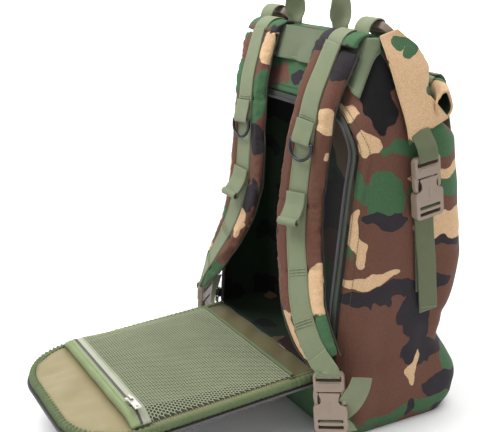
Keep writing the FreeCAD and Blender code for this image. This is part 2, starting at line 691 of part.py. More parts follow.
# the pocket's mouth: a tape with the zip's coil, carried on the front of the mesh
MOUTH_LEVEL = TOP + MOUTH_RISE
mouth_tape = slab(-POCKET_HALF, POCKET_HALF, -MOUTH - 14, -MOUTH + 7.8, MOUTH_LEVEL, MOUTH_LEVEL + 1.2)
coil = slab(-POCKET_HALF + 4, POCKET_HALF - 4, -MOUTH - 5.5, -MOUTH - 2.5, MOUTH_LEVEL + 1.2, MOUTH_LEVEL + 2.4)
ends = [slab(x, x + 1.4, -MOUTH - 14, -MOUTH + 7.8, PANEL_TOP + 0.1, MOUTH_LEVEL)
        for x in (-POCKET_HALF, POCKET_HALF - 1.4)]
shape_node("pocket_zip_tape", mouth_tape.multiFuse([coil] + ends), PANEL_AT)


# ---------------------------------------------------------------- zip sliders and pulls
def slider_shape():
    """A zip slider: two plates joined by a neck, with a bridge for the pull.  Travel is local Y."""
    top = slab(-4.5, 4.5, -6.5, 6.5, 0.6, 1.8)
    pieces = [
        slab(-4.5, 4.5, -6.5, 6.5, -1.8, -0.6),
        slab(-1, 1, 2.5, 6, -0.7, 0.7),
        slab(-1.3, 1.3, -5, -3.5, 1.7, 4.6),
        slab(-1.3, 1.3, 3.5, 5, 1.7, 4.6),
        slab(-1.3, 1.3, -5, 5, 4.5, 5.6),
    ]
    return top.multiFuse(pieces)


PULL_AXIS = 3.15                         # height of the pull's pin above the slider's mid plane


def pull_shape(length):
    """A flat pull on a round pin.  The pin is the local X axis and the tab hangs to local -Y."""
    pieces = [slab(-4, 4, -length, -7.5, -0.7, 0.7)]
    for side in (-1, 1):
        pieces.append(slab(side * 3 - 1, side * 3 + 1, -8, 0.7, -0.7, 0.7))
    pin = Part.makeCylinder(0.7, 6, Vector(-3, 0, 0), Vector(1, 0, 0))
    hole = Part.makeCylinder(1.7, 4, Vector(0, 3.4 - length, -2), Vector(0, 0, 1))
    return pin.multiFuse(pieces).cut(hole)


BACK_LEAN = math.radians(5)
SLIDER_X, SLIDER_Y, SLIDER_Z = 138.5, -93.5, HINGE_Z + 14
ZIP_UP = Vector(0, math.sin(BACK_LEAN), math.cos(BACK_LEAN))
ZIP_OUT = Vector(0, -math.cos(BACK_LEAN), math.sin(BACK_LEAN))
ZIP_TRAVEL = 235                         # climb of a slider along the bag's side
PULL_TAB = 15
GRIP_R, GRIP_LENGTH = 3.4, 30

for name, sign in SIDES:
    at = axes_at(Vector(sign * SLIDER_X, SLIDER_Y, SLIDER_Z), ZIP_UP, ZIP_OUT)
    shape_node(f"zip_slider_{name}", slider_shape(), at)
    pull_at = at.multiply(Placement(Vector(0, 0, PULL_AXIS), Rotation()))
    shape_node(f"zip_pull_{name}", pull_shape(PULL_TAB), pull_at)
    # the cord grip is a sleeve that closes on the tab's end
    sleeve = Part.makeCylinder(GRIP_R, GRIP_LENGTH, Vector(0, -PULL_TAB - 3, 0), Vector(0, -1, 0))
    shape_node(f"zip_grip_{name}", sleeve, pull_at)

POCKET_SLIDER_X = 88
slider_level = MOUTH_LEVEL + 4.5         # its lower plate clears the coil
pocket_at = PANEL_AT.multiply(axes_at(Vector(POCKET_SLIDER_X, -MOUTH - 4, slider_level),
                                      Vector(-1, 0, 0), Vector(0, 0, 1)))
shape_node("pocket_slider", slider_shape(), pocket_at)
pocket_pull_at = pocket_at.multiply(Placement(Vector(0, 0, PULL_AXIS), Rotation()))
shape_node("pocket_pull", pull_shape(24), pocket_pull_at)


# ---------------------------------------------------------------- check and export
doc.recompute()
for obj in doc.Objects:
    if "Invalid" in obj.State or "Error" in obj.State:
        raise RuntimeError(f"{obj.Label} is {obj.State}")
for obj in NODES:
    if obj.Shape.isNull() or not obj.Shape.isValid() or not obj.Shape.Solids:
        raise RuntimeError(f"{obj.Label} has no valid solid")

os.makedirs("parts", exist_ok=True)
for obj in NODES:
    obj.Shape.exportStep(f"parts/{obj.Label}.step")
print(len(NODES), "sub-parts")
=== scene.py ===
import math
from types import SimpleNamespace
import bmesh
import bpy
import numpy as np
from mathutils import Matrix, Vector, noise


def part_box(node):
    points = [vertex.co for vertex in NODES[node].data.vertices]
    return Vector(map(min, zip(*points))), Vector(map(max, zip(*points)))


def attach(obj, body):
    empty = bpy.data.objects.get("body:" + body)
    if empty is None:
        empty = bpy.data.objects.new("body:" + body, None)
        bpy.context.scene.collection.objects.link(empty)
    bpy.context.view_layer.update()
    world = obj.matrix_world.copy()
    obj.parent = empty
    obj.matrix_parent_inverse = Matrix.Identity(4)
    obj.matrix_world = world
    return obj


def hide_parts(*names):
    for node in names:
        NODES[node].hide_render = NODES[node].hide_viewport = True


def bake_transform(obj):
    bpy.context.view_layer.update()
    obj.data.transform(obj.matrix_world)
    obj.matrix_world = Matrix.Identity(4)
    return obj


# Hunting backpack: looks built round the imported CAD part.  Metres, +Z up, wearer's side -Y.
# Paths and prints are written in millimetres and turned into metres by MM; sections and stitches
# are in metres.
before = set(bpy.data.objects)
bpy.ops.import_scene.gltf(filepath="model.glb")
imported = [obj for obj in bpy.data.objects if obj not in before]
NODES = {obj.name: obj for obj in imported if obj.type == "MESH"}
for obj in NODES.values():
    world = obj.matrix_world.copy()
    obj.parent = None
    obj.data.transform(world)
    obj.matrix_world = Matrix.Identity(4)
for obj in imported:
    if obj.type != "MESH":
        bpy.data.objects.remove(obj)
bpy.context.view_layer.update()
MM = 0.001
SIDES = (("left", 1), ("right", -1))
TO_WEARER = (0, -1, 0)


# ---------------------------------------------------------------- node materials
class Paint:
    """A small builder for one procedural material."""

    def __init__(self, name):
        self.mat = bpy.data.materials.new(name)
        self.mat.use_nodes = True
        self.tree = self.mat.node_tree
        self.tree.nodes.clear()
        self.bsdf = self.add("ShaderNodeBsdfPrincipled")
        self.add("ShaderNodeOutputMaterial", Surface=self.bsdf.outputs["BSDF"])
        coords = self.add("ShaderNodeTexCoord")
        self.at, self.uv = coords.outputs["Object"], coords.outputs["UV"]

    def feed(self, value, socket):
        """Give an input a number, a vector, a colour or another node's output."""
        if isinstance(value, bpy.types.NodeSocket):
            self.tree.links.new(value, socket)
        elif socket.type == "RGBA":
            socket.default_value = (*value, 1.0)
        else:
            socket.default_value = value

    def add(self, kind, **values):
        """A new node; each value goes to its property, or else its input, of that name."""
        new = self.tree.nodes.new(kind)
        for key, value in values.items():
            if hasattr(new, key):
                setattr(new, key, value)
            else:
                self.feed(value, new.inputs[key.replace("_", " ")])
        return new

    def set(self, **values):
        """Feed the shader's own inputs."""
        for key, value in values.items():
            self.feed(value, self.bsdf.inputs[key.replace("_", " ")])

    def work_out(self, kind, operation, values):
        new = self.add(kind, operation=operation)
        for value, socket in zip(values, new.inputs):
            self.feed(value, socket)
        return new.outputs

    def math(self, operation, *values):
        return self.work_out("ShaderNodeMath", operation, values)[0]

    def vector(self, operation, *values):
        outputs = self.work_out("ShaderNodeVectorMath", operation, values)
        return outputs["Value" if operation == "LENGTH" else "Vector"]

    def noise(self, coords, scale, detail, color=False):
        new = self.add("ShaderNodeTexNoise", Scale=scale, Detail=detail, Vector=coords)
        return new.outputs["Color" if color else "Fac"]

    def wave(self, coords, scale, direction):
        new = self.add("ShaderNodeTexWave", bands_direction=direction, Scale=scale, Vector=coords)
        return new.outputs["Fac"]

    def ramp(self, value, low, high):
        """0 to 1 as a value goes from low to high."""
        new = self.add("ShaderNodeMapRange", interpolation_type="SMOOTHSTEP",
                       From_Min=low, From_Max=high, Value=value)
        return new.outputs["Result"]

    def mix(self, factor, a, b, blend="MIX"):
        new = self.add("ShaderNodeMix", data_type="RGBA", blend_type=blend)
        for value, slot in ((factor, 0), (a, 6), (b, 7)):
            self.feed(value, new.inputs[slot])
        return new.outputs[2]

    def between(self, factor, low, high):
        return self.math("MULTIPLY_ADD", factor, high - low, low)

    def shade(self, color, factor, low, high):
        """A colour lightened or darkened by a factor that runs from 0 to 1."""
        scale = self.between(factor, low, high)
        grey = self.add("ShaderNodeCombineColor", Red=scale, Green=scale, Blue=scale)
        return self.mix(1.0, color, grey.outputs[0], "MULTIPLY")

    def bump(self, height, distance, strength, **before):
        """Raise the surface by a height; before may give the normal to start from."""
        new = self.add("ShaderNodeBump", Strength=strength, Distance=distance, Height=height, **before)
        self.set(Normal=new.outputs["Normal"])
        return new.outputs["Normal"]


def srgb(red, green, blue):
    """A colour given as it looks, 0 to 255, as linear values."""
    parts = [value / 255 for value in (red, green, blue)]
    return tuple(p / 12.92 if p <= 0.04045 else ((p + 0.055) / 1.055) ** 2.4 for p in parts)


TAN = srgb(206, 172, 134)
BROWN = srgb(102, 68, 55)
GREEN = srgb(64, 98, 66)
BLACK = srgb(44, 39, 44)
# painted shade: a near-black colour that is not in the print, for the gap behind a lid wing
PAINTED_SHADE_BLACK = srgb(18, 18, 18)
OLIVE = srgb(124, 132, 103)
MIDDLE = (0.5, 0.5, 0.5)
# each layer of the print: colour, stretch, offset, noise scale, and where its edge begins and ends
PRINT_LAYERS = (
    (BROWN, (1, 1, 1.45), (0, 0, 0), 8.2, 0.478, 0.486),
    (GREEN, (1, 1, 1.45), (3.1, 1.7, 5.3), 8.6, 0.512, 0.52),
    (BLACK, (1, 1, 1.9), (7.7, 4.2, 1.9), 10.5, 0.6, 0.607),
)


def mm(values):
    return tuple(v * MM for v in values)


def camo(name, blobs=(), shift=(0, 0, 0), dark=1.0):
    """Printed woodland cloth.  Blobs are (colour, centre mm, radii mm) laid over the random print."""
    p = Paint(name)
    where = bent = p.vector("ADD", p.at, mm(shift))
    # broad waves and fine ones make the edges of the print uneven
    for scale, detail, reach in ((24, 1.5, 0.045), (90, 1.0, 0.006)):
        sway = p.vector("SUBTRACT", p.noise(where, scale, detail, color=True), MIDDLE)
        bent = p.vector("ADD", bent, p.vector("MULTIPLY", sway, (reach, reach, reach)))
    color = TAN
    for tint, stretch, offset, scale, low, high in PRINT_LAYERS:
        at = p.vector("ADD", p.vector("MULTIPLY", bent, stretch), offset)
        color = p.mix(p.ramp(p.noise(at, scale, 0.6), low, high), color, tint)
    base = p.vector("SUBTRACT", bent, mm(shift))
    for tint, centre, radii in blobs:
        away = p.vector("SUBTRACT", base, mm(centre))
        away = p.vector("MULTIPLY", away, tuple(1 / (r * MM) for r in radii))
        color = p.mix(p.ramp(p.vector("LENGTH", away), 1.02, 0.98), color, tint)
    weave, grain = p.noise(p.at, 900, 1.0), p.noise(p.at, 160, 3.0)
    # dark scales the whole colour; below 1 it darkens the print into painted shade
    color = p.shade(color, weave, 0.55 * dark, 1.45 * dark)
    p.set(Base_Color=p.shade(color, grain, 0.90, 1.10), Roughness=p.between(grain, 0.75, 0.95),
          Sheen_Weight=0.05, Sheen_Roughness=0.6, Specular_IOR_Level=0.2)
    p.bump(weave, 0.0006, 0.5, Normal=p.bump(grain, 0.0012, 0.25))
    return p.mat


# wave texture scales for the ribs along a strip and across it, from half their spacing in metres
RIB_WAVES, CROSS_WAVES = (1 / (2 * half) / 3.1416 for half in (0.00075, 0.0006))


def webbing_paint(name, tint, strong=1.0):
    """Ribbed nylon webbing: the weave runs along the strip's own length, by its UV in metres."""
    p = Paint(name)
    cross = p.math("MULTIPLY", p.wave(p.uv, CROSS_WAVES, "Y"), 0.4)
    weave = p.math("MULTIPLY_ADD", p.wave(p.uv, RIB_WAVES, "X"), 0.6, cross)
    wear, lint = p.noise(p.at, 60, 3.0), p.noise(p.at, 1100, 1.0)
    color = p.shade(tint, weave, 1 - 0.16 * strong, 1 + 0.14 * strong)
    color = p.shade(color, wear, 0.88, 1.12)
    p.set(Base_Color=p.shade(color, lint, 0.9, 1.1), Roughness=p.between(wear, 0.62, 0.85),
          Sheen_Weight=0.1, Sheen_Roughness=0.5, Specular_IOR_Level=0.3)
    p.bump(weave, 0.0005, 0.6)
    return p.mat


def cloth_paint(name, tint, grain_scale=700, dark=0.85, light=1.12, rough=(0.55, 0.75), sheen=0.1, shine=0.4):
    """Plain cloth or thread with a fine grain and soft patches."""
    p = Paint(name)
    grain, patch = p.noise(p.at, grain_scale, 1.0), p.noise(p.at, 25, 3.0)
    color = p.shade(tint, grain, dark, light)
    p.set(Base_Color=p.shade(color, patch, 0.88, 1.1), Roughness=p.between(patch, *rough),
          Sheen_Weight=sheen, Specular_IOR_Level=shine)
    p.bump(grain, 0.0004, 0.4)
    return p.mat


def mesh_paint(name, tint, hole):
    """Spacer mesh: a knitted face whose holes are darker, as painted shade inside the holes."""
    p = Paint(name)
    cells = p.add("ShaderNodeTexVoronoi", Scale=1 / 0.0032, Randomness=0.25, Vector=p.at)
    yarn = p.ramp(cells.outputs["Distance"], 0.28, 0.42)
    color = p.shade(p.mix(yarn, hole, tint), p.noise(p.at, 60, 3.0), 0.85, 1.15)
    p.set(Base_Color=color, Roughness=0.9, Sheen_Weight=0.2)
    p.bump(yarn, 0.0008, 0.8)
    return p.mat


def plastic_paint(name, tint):
    p = Paint(name)
    grain, patch = p.noise(p.at, 500, 2.0), p.noise(p.at, 70, 2.0)
    color = p.shade(p.shade(tint, patch, 0.9, 1.1), grain, 0.96, 1.05)
    p.set(Base_Color=color, Roughness=p.between(patch, 0.28, 0.42))
    p.bump(grain, 0.0001, 0.25)
    return p.mat


def metal_paint(name, tint, rough):
    """Brushed metal, scratched along X and Y."""
    p = Paint(name)
    scratch = p.noise(p.vector("MULTIPLY", p.at, (1, 1, 6)), 300, 3.0)
    p.set(Base_Color=p.shade(tint, scratch, 0.8, 1.15), Metallic=1.0,
          Roughness=p.between(scratch, rough - 0.08, rough + 0.14))
    p.bump(scratch, 0.0001, 0.2)
    return p.mat


WEBBING = webbing_paint("webbing", OLIVE)
# painted shade: a darker copy of the webbing, for the length sewn flat to the bag's side
WEBBING_DARK = webbing_paint("webbing_shade", srgb(78, 84, 62))
# painted shade: a darker copy of the webbing for the bag's sides, where less light falls
WEBBING_SIDE_SHADED = webbing_paint("webbing_side_shaded", srgb(97, 104, 76))
TAPE = webbing_paint("zip_tape", srgb(166, 168, 148), 0.7)
TAPE_OLIVE = webbing_paint("zip_tape_olive", srgb(132, 146, 104), 0.7)
TAPE_DARK = webbing_paint("zip_tape_dark", srgb(58, 64, 54), 0.7)
BINDING = webbing_paint("binding", srgb(98, 112, 76), 0.8)
YOKE_CLOTH = webbing_paint("yoke_cloth", srgb(108, 118, 92), 0.5)
LINING = cloth_paint("lining", srgb(140, 128, 92), 900, 0.94, 1.05, (0.42, 0.6))
# painted shade: the lining darkened where the mesh pocket covers it
LINING_PAINTED_SHADE = cloth_paint("lining_painted_shade", srgb(60, 60, 42), 900, 0.94, 1.05, (0.5, 0.7))
# painted shade: the lining darkened at its root beside the hinge
LINING_ROOT = cloth_paint("lining_root", srgb(96, 89, 58), 900, 0.94, 1.05, (0.45, 0.65))
PANEL_FACE = cloth_paint("panel_face", srgb(78, 72, 76), 700)
# painted shade: near black for the inner faces under the lid wings
PAINTED_SHADE_INNER = cloth_paint("inside", srgb(22, 23, 19), 500, rough=(0.9, 1.0), sheen=0.0, shine=0.05)
INSIDE_GREEN = cloth_paint("roll_inside", srgb(78, 106, 76), 600)
SPACER = mesh_paint("spacer_mesh", srgb(40, 40, 42), srgb(14, 14, 15))
POCKET_YARN = cloth_paint("pocket_yarn", srgb(166, 174, 142), 1500, 0.85, 1.15, (0.7, 0.85), 0.3)
PLASTIC = plastic_paint("buckle_plastic", srgb(148, 130, 116))
RING = metal_paint("ring_metal", srgb(70, 72, 80), 0.34)
ZIP_METAL = metal_paint("zip_metal", srgb(205, 203, 196), 0.3)
ZIP_DARK = metal_paint("zip_dark", srgb(92, 92, 88), 0.42)
COIL = plastic_paint("zip_coil", srgb(84, 78, 84))
RUBBER = plastic_paint("grip_rubber", srgb(70, 76, 56))
THREAD = cloth_paint("thread", srgb(150, 160, 126), 1500, 0.9, 1.1)
THREAD_DARK = cloth_paint("thread_dark", srgb(70, 76, 60), 1500, 0.9, 1.1)
PIPING = cloth_paint("piping", srgb(58, 52, 42), 1200)


# ---------------------------------------------------------------- points and directions
def unit(v):
    v = np.asarray(v, float)
    return v / np.maximum(np.linalg.norm(v, axis=-1, keepdims=True), 1e-12)


def square_to(along, guide):
    """The part of a guide square to a direction, as a unit vector; for one pair or rows of them."""
    return unit(guide - along * (guide * along).sum(-1, keepdims=True))


def tangents(path):
    return unit(np.gradient(path, axis=0))


def distances(path):
    """Distance run along a path at each of its points."""
    return np.concatenate([[0], np.cumsum(np.linalg.norm(np.diff(path, axis=0), axis=1))])


def interpolate(at, marks, rows):
    """Rows of values known at marks, read at one place or several."""
    return np.stack([np.interp(at, marks, column) for column in np.asarray(rows, float).T], -1)


def curve_through(points, step=0.003):
    """Points about a step apart on a smooth curve through the given ones, and their parameter."""
    pts = np.asarray(points, float)
    ext = np.vstack([2 * pts[0] - pts[1], pts, 2 * pts[-1] - pts[-2]])
    out, at = [], []
    for i in range(len(pts) - 1):
        p0, p1, p2, p3 = ext[i:i + 4]
        count = max(2, int(np.linalg.norm(p2 - p1) / step))
        for t in np.linspace(0, 1, count, endpoint=False):
            out.append(0.5 * (2 * p1 + (p2 - p0) * t + (2 * p0 - 5 * p1 + 4 * p2 - p3) * t ** 2
                              + (3 * p1 - p0 - 3 * p2 + p3) * t ** 3))
            at.append(i + t)
    return np.array(out + [pts[-1]]), np.array(at + [len(pts) - 1])


def fuzz(point, scale, seed=0.0):
    """Smooth noise about -1 to 1 at a point."""
    return noise.noise(Vector(point) * scale + Vector((seed, seed * 1.7, -seed)))


def mirrored(point, sign):
    return (sign * point[0], point[1], point[2])


def axes_at(origin, along, outward):
    """Matrix with local Y along the webbing and local Z outward; the origin is in millimetres."""
    y = unit(along)
    z = square_to(y, np.asarray(outward, float))
    axes = np.eye(4)
    axes[:3] = np.stack([np.cross(y, z), y, z, np.asarray(origin, float) * MM], 1)
    return Matrix(axes.tolist())


def in_axes(matrix, points):
    """Local millimetre points of a placement as world millimetre points."""
    return [tuple(np.array(matrix @ Vector([c * MM for c in p])) / MM) for p in points]


def turned(matrix, ways):
    """Local directions of a placement as world directions."""
    return [tuple(matrix.to_3x3() @ Vector(way)) for way in ways]


# ---------------------------------------------------------------- mesh helpers
def make(name, verts, faces, materials, uv=None, smooth=True, groups=None):
    """A mesh object from arrays of points and faces, in metres; groups are material numbers."""
    data = bpy.data.meshes.new(name)
    data.from_pydata([tuple(v) for v in verts], [], [tuple(int(i) for i in f) for f in faces])
    if uv is not None:
        layer = data.uv_layers.new(name="UVMap")
        loops = np.empty(len(data.loops), int)
        data.loops.foreach_get("vertex_index", loops)
        layer.data.foreach_set("uv", np.asarray(uv, float)[loops].ravel())
    for material in materials:
        data.materials.append(material)
    if groups is not None:
        data.polygons.foreach_set("material_index", np.asarray(groups, int))
    data.polygons.foreach_set("use_smooth", [smooth] * len(data.polygons))
    data.update()
    return add_object(name, data)


def add_object(name, data):
    obj = bpy.data.objects.new(name, data)
    bpy.context.scene.collection.objects.link(obj)
    return obj


def grid(rows, columns, closed=False, flip=False, start=0):
    """Quads between rows of points; closed joins each row's last point to its first."""
    faces = []
    for i in range(rows - 1):
        a, b = start + i * columns, start + (i + 1) * columns
        for j in range(columns if closed else columns - 1):
            k = (j + 1) % columns
            faces.append((a + j, b + j, b + k, a + k) if flip else (a + j, a + k, b + k, b + j))
    return faces


def evaluated(obj):
    bpy.context.view_layer.update()
    return obj.evaluated_get(bpy.context.evaluated_depsgraph_get())


def apply_modifiers(obj):
    done, old = bpy.data.meshes.new_from_object(evaluated(obj)), obj.data
    obj.modifiers.clear()
    obj.data = done
    bpy.data.meshes.remove(old)
    return obj


def thicken(obj, thickness, offset=-1):
    """Give a sheet of cloth its thickness; a second material goes on the inner face."""
    cloth = obj.modifiers.new("cloth", "SOLIDIFY")
    cloth.thickness = thickness
    cloth.offset = offset
    cloth.material_offset = len(obj.data.materials) - 1
    return apply_modifiers(obj)


def face_outward(obj):
    clean = bmesh.new()
    clean.from_mesh(obj.data)
    bmesh.ops.recalc_face_normals(clean, faces=clean.faces)
    clean.to_mesh(obj.data)
    clean.free()


def join(name, objects):
    """One mesh from several, keeping their materials."""
    for other in bpy.context.selected_objects:
        other.select_set(False)
    for obj in objects:
        obj.select_set(True)
    bpy.context.view_layer.objects.active = objects[0]
    bpy.ops.object.join()
    objects[0].name = objects[0].data.name = name
    return objects[0]


def sweep(name, path, out, profile, *materials):
    """A section swept along a path.

    out is the outward guide, one vector or one per point.  profile is an array of (across, outward)
    pairs, one section or one per point.
    """
    path = np.asarray(path, float)
    along = tangents(path)
    normal = square_to(along, np.broadcast_to(np.asarray(out, float), path.shape))
    across = np.cross(along, normal)
    profile = np.asarray(profile, float)
    if profile.ndim == 2:
        profile = np.broadcast_to(profile, (len(path), *profile.shape))
    rows, count = profile.shape[:2]
    verts = path[:, None] + across[:, None] * profile[..., :1] + normal[:, None] * profile[..., 1:]
    uv = np.stack(np.broadcast_arrays(distances(profile[0])[None], distances(path)[:, None]), -1)
    faces = grid(rows, count, closed=True, flip=True)
    faces += [tuple(range(count)), tuple(range(rows * count - 1, (rows - 1) * count - 1, -1))]
    return make(name, verts.reshape(-1, 3), faces, materials, uv.reshape(-1, 2))


def flat_profile(width, thick, low=0.0):
    """Section of a flat strip with softened edges."""
    half, soft = width / 2, min(thick * 0.45, 0.0007)
    nick = 0.3 * soft
    xs = np.linspace(-half + soft, half - soft, 7)
    right = [(half - nick, low + nick), (half, low + thick / 2), (half - nick, low + thick - nick)]
    top = [(x, low + thick) for x in xs[::-1]]
    return np.array([(x, low) for x in xs] + right + top + mirror_x(right))


def mirror_x(points):
    """The points on the other side of X = 0, in reverse order."""
    return [(-x, y) for x, y in points[::-1]]


def round_profile(radius, sides=8):
    angles = np.linspace(0, 2 * math.pi, sides, endpoint=False)
    return np.stack([radius * np.cos(angles), radius * np.sin(angles)], 1)


def cushion_profile(half, thick, wide_power=0.27, high_power=0.55, sides=28):
    """An oval section; powers below 1 square it off."""
    turn = np.linspace(0, 2 * math.pi, sides, endpoint=False)
    c, s = np.cos(turn), np.sin(turn)
    wide, high = np.copysign(abs(c) ** wide_power, c), np.copysign(abs(s) ** high_power, s)
    return np.stack([half * wide, thick * high], 1)


WEB_WIDE = 28


def band(name, points, thick, out, material=WEBBING, step=0.003, width=WEB_WIDE):
    """A webbing strip through points given in millimetres; the guide may be one vector or one per point."""
    pts = np.asarray(points, float) * MM
    path, at = curve_through(pts, step)
    guide = np.asarray(out, float)
    if guide.ndim == 2:
        guide = interpolate(at, np.arange(len(pts)), guide)
    return sweep(name, path, guide, flat_profile(width * MM, thick * MM), material)


STITCH_LIFT = 0.0004


def stitches(name, path, out, pitch=0.0034, length=0.0023, radius=0.00034, material=THREAD):
    """A row of thread stitches laid along a path on a surface."""
    path = np.asarray(path, float)
    run = distances(path)
    guide = np.broadcast_to(np.asarray(out, float), path.shape)
    verts, faces = [], []
    for start in np.arange(pitch / 2, run[-1] - length, pitch):
        first, last = interpolate(start, run, path), interpolate(start + length, run, path)
        normal = unit(interpolate(start, run, guide))
        side = np.cross(unit(last - first), normal)
        base = len(verts)
        for share, rise in ((0, 0.1), (0.3, 1.0), (0.7, 1.0), (1, 0.1)):
            centre = first * (1 - share) + last * share + normal * (STITCH_LIFT * rise)
            for angle in (math.pi / 4 + turn * math.pi / 2 for turn in range(4)):
                verts.append(centre + (side * math.cos(angle) + normal * math.sin(angle)) * radius)
        faces += grid(4, 4, closed=True, start=base)
        faces += [(base + 3, base + 2, base + 1, base), (base + 12, base + 13, base + 14, base + 15)]
    return make(name, verts, faces, [material])


def place(obj, body, slot, *nodes):
    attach(obj, body)
    if nodes:
        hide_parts(*nodes)


# ---------------------------------------------------------------- bag outline
LEVELS = np.array([
    (0, 153, -80, 100, 40), (12, 161, -89, 112, 43), (50, 165, -93, 121, 45), (105, 158, -92, 84, 40),
    (170, 158, -88, 108, 42), (223, 157, -83, 115, 42), (313, 156, -74, 102, 40), (370, 154, -66, 90, 38),
    (386, 153, -64, 58, 34), (437, 142, -50, 50, 30), (470, 131, -42, 4, 18), (484, 125, -36, -16, 8)], float)


def level_at(height):
    """Half width, back, front and corner radius of the bag at a height in millimetres."""
    return interpolate(height, LEVELS[:, 0], LEVELS[:, 1:])


def smooth_level(height):
    return np.mean([level_at(height + d) for d in (-9, -4.5, 0, 4.5, 9)], 0)


def ring_points(height):
    """Points round the bag at one height, starting at the middle of the back, towards +X."""
    half, back, front, corner = smooth_level(height) + (-0.5, 0.5, -0.5, -0.5)
    corner = min(max(corner, 2), half * 0.9, (front - back) * 0.48)

    def arc(cx, cy, start):
        return [(cx + corner * math.cos(math.radians(a)), cy + corner * math.sin(math.radians(a)))
                for a in np.linspace(start, start + 90, 12)]

    def line(a, b, count):
        return [tuple(np.array(a) * (1 - t) + np.array(b) * t) for t in np.linspace(0, 1, count + 1)[1:-1]]

    middle = [(0, back)]
    corners = [arc(half - corner, back + corner, 270), arc(half - corner, front - corner, 0),
               arc(corner - half, front - corner, 90), arc(corner - half, back + corner, 180)]
    pts = middle + line(middle[0], corners[0][0], 23)
    for points, following, count in zip(corners, corners[1:] + [middle], (30, 46, 30, 23)):
        pts += points + line(points[-1], following[0], count)
    return np.array([(x, y, height) for x, y in pts])


def folds(point, side):
    """How far the bag's cloth stands out at a point, millimetres; side is how much it faces sideways."""
    x, y, z = point
    value = 2.2 * fuzz(point, 0.011, 3) + 1.1 * fuzz(point, 0.028, 9)
    value += 1.6 * fuzz((x * 0.6, y * 1.2, z * 0.35), 0.03, 21) * (0.4 + side)
    # soft creases that run from the side webbing and above the base
    for height, depth, lean in ((205, 2.4, 0.25), (150, 3.0, -0.2), (98, 3.4, 0.12), (262, 2.0, -0.3)):
        level = z - height - lean * (y - 20) - 7 * fuzz((x, y, 0), 0.02, height)
        value -= depth * side * math.exp(-(level / 9) ** 2) * (0.5 + 0.5 * math.sin(y * 0.035 + height))
    return value * min(1.0, z / 30)


def bag_shell():
    """Points and faces of the bag's outside, closed at the base and the top."""
    heights = np.concatenate([[0], np.linspace(2, 380, 100), np.linspace(383, 484, 34)])
    verts = []
    for height in heights:
        ring = ring_points(height)
        middle = np.array([0, smooth_level(height)[1:3].mean(), height])
        following = np.roll(ring, -1, 0) - np.roll(ring, 1, 0)
        outward = unit(np.stack([following[:, 1], -following[:, 0], np.zeros(len(ring))], 1))
        for point, normal in zip(ring, outward):
            if np.dot(normal, point - middle) < 0:
                normal = -normal
            near_opening = point[1] < -20 and 60 < height < 420 and abs(point[0]) < 150
            amount = folds(point, abs(normal[0])) * (0.25 if near_opening else 1.0)
            verts.append(point + normal * amount)
    count = len(ring)
    faces = grid(len(heights), count, closed=True)
    faces += [tuple(range(count))[::-1], tuple(range(len(verts) - count, len(verts)))]
    return np.array(verts) * MM, faces


def opening_outline(inset=0.0):
    """The back opening, seen from behind, as (x, z) points in millimetres, open at the bottom."""
    half, top, corner, low = 141 - inset, 402 - inset, 55 - inset, 79
    pts = [(half, low)] + [(half, z) for z in np.linspace(low + 4, top - corner, 60)]
    for a in np.radians(np.linspace(0, 90, 16)[1:]):
        pts.append((half - corner + corner * math.cos(a), top - corner + corner * math.sin(a)))
    pts += [(x, top) for x in np.linspace(half - corner, 0, 20)[1:]]
    return np.array(pts + [(-x, z) for x, z in pts[-2::-1]])


BAG_BLOBS = [
    # left side, from the lid down; later blobs lie over earlier ones
    (BROWN, (157, 10, 130), (60, 150, 135)), (BROWN, (157, -40, 330), (45, 60, 90)),
    (GREEN, (157, 30, 362), (50, 72, 14)), (BROWN, (157, 76, 344), (50, 44, 11)),
    (TAN, (157, 62, 327), (50, 60, 8)), (GREEN, (157, 66, 306), (50, 62, 13)),
    (BROWN, (157, 68, 285), (50, 60, 11)), (TAN, (157, 84, 260), (50, 66, 16)),
    (BLACK, (157, 82, 238), (50, 48, 7)), (GREEN, (157, -27, 305), (45, 25, 31)),
    (BLACK, (157, -24, 276), (45, 30, 9)), (TAN, (157, -50, 366), (45, 9, 17)),
    (GREEN, (157, -56, 318), (45, 12, 24)), (TAN, (157, -63, 256), (45, 9, 30)),
    (TAN, (157, -44, 206), (45, 42, 9)), (BLACK, (157, -28, 184), (45, 60, 12)),
    (BLACK, (157, 24, 146), (45, 24, 42)), (BLACK, (157, 44, 98), (45, 42, 15)),
    (BLACK, (157, 52, 186), (45, 22, 7)), (TAN, (157, 24, 74), (45, 6, 24)),
    (BLACK, (150, 78, 44), (60, 36, 20)), (GREEN, (150, 92, 74), (60, 24, 16)),
    (GREEN, (150, 26, 14), (70, 78, 13)), (BLACK, (157, 24, 14), (45, 8, 15)),
    # painted shade: a near-black patch on the left side, in the gap between the yoke and the lid wing where
    # the wing's shadow falls
    (PAINTED_SHADE_BLACK, (150, -38, 434), (40, 20, 50)),
    # the strip between yoke and zip
    (BROWN, (-40, -70, 420), (30, 40, 16)), (BLACK, (2, -70, 424), (14, 40, 12)),
    (TAN, (36, -70, 414), (17, 40, 10)), (BROWN, (70, -70, 422), (22, 40, 14)),
]
BAG_CLOTH = camo("camo_bag", BAG_BLOBS)
# the bag's inner face: the print darkened to 13 percent, painted shade inside the bag
BAG_INNER_PAINTED_SHADE = camo("camo_bag_inner_painted_shade", (), (35, 20, 10), 0.13)
LID_BLOBS = [
    (TAN, (150, 20, 425), (80, 110, 80)), (GREEN, (148, 12, 470), (60, 15, 13)),
    (GREEN, (148, 0, 482), (60, 22, 7)), (GREEN, (150, 24, 364), (60, 80, 9)),
    (GREEN, (150, 37, 424), (50, 7, 12)), (GREEN, (150, -35, 456), (40, 6, 20)),
    (GREEN, (140, 74, 430), (50, 12, 7)),
]
LID_CLOTH = camo("camo_lid", LID_BLOBS)


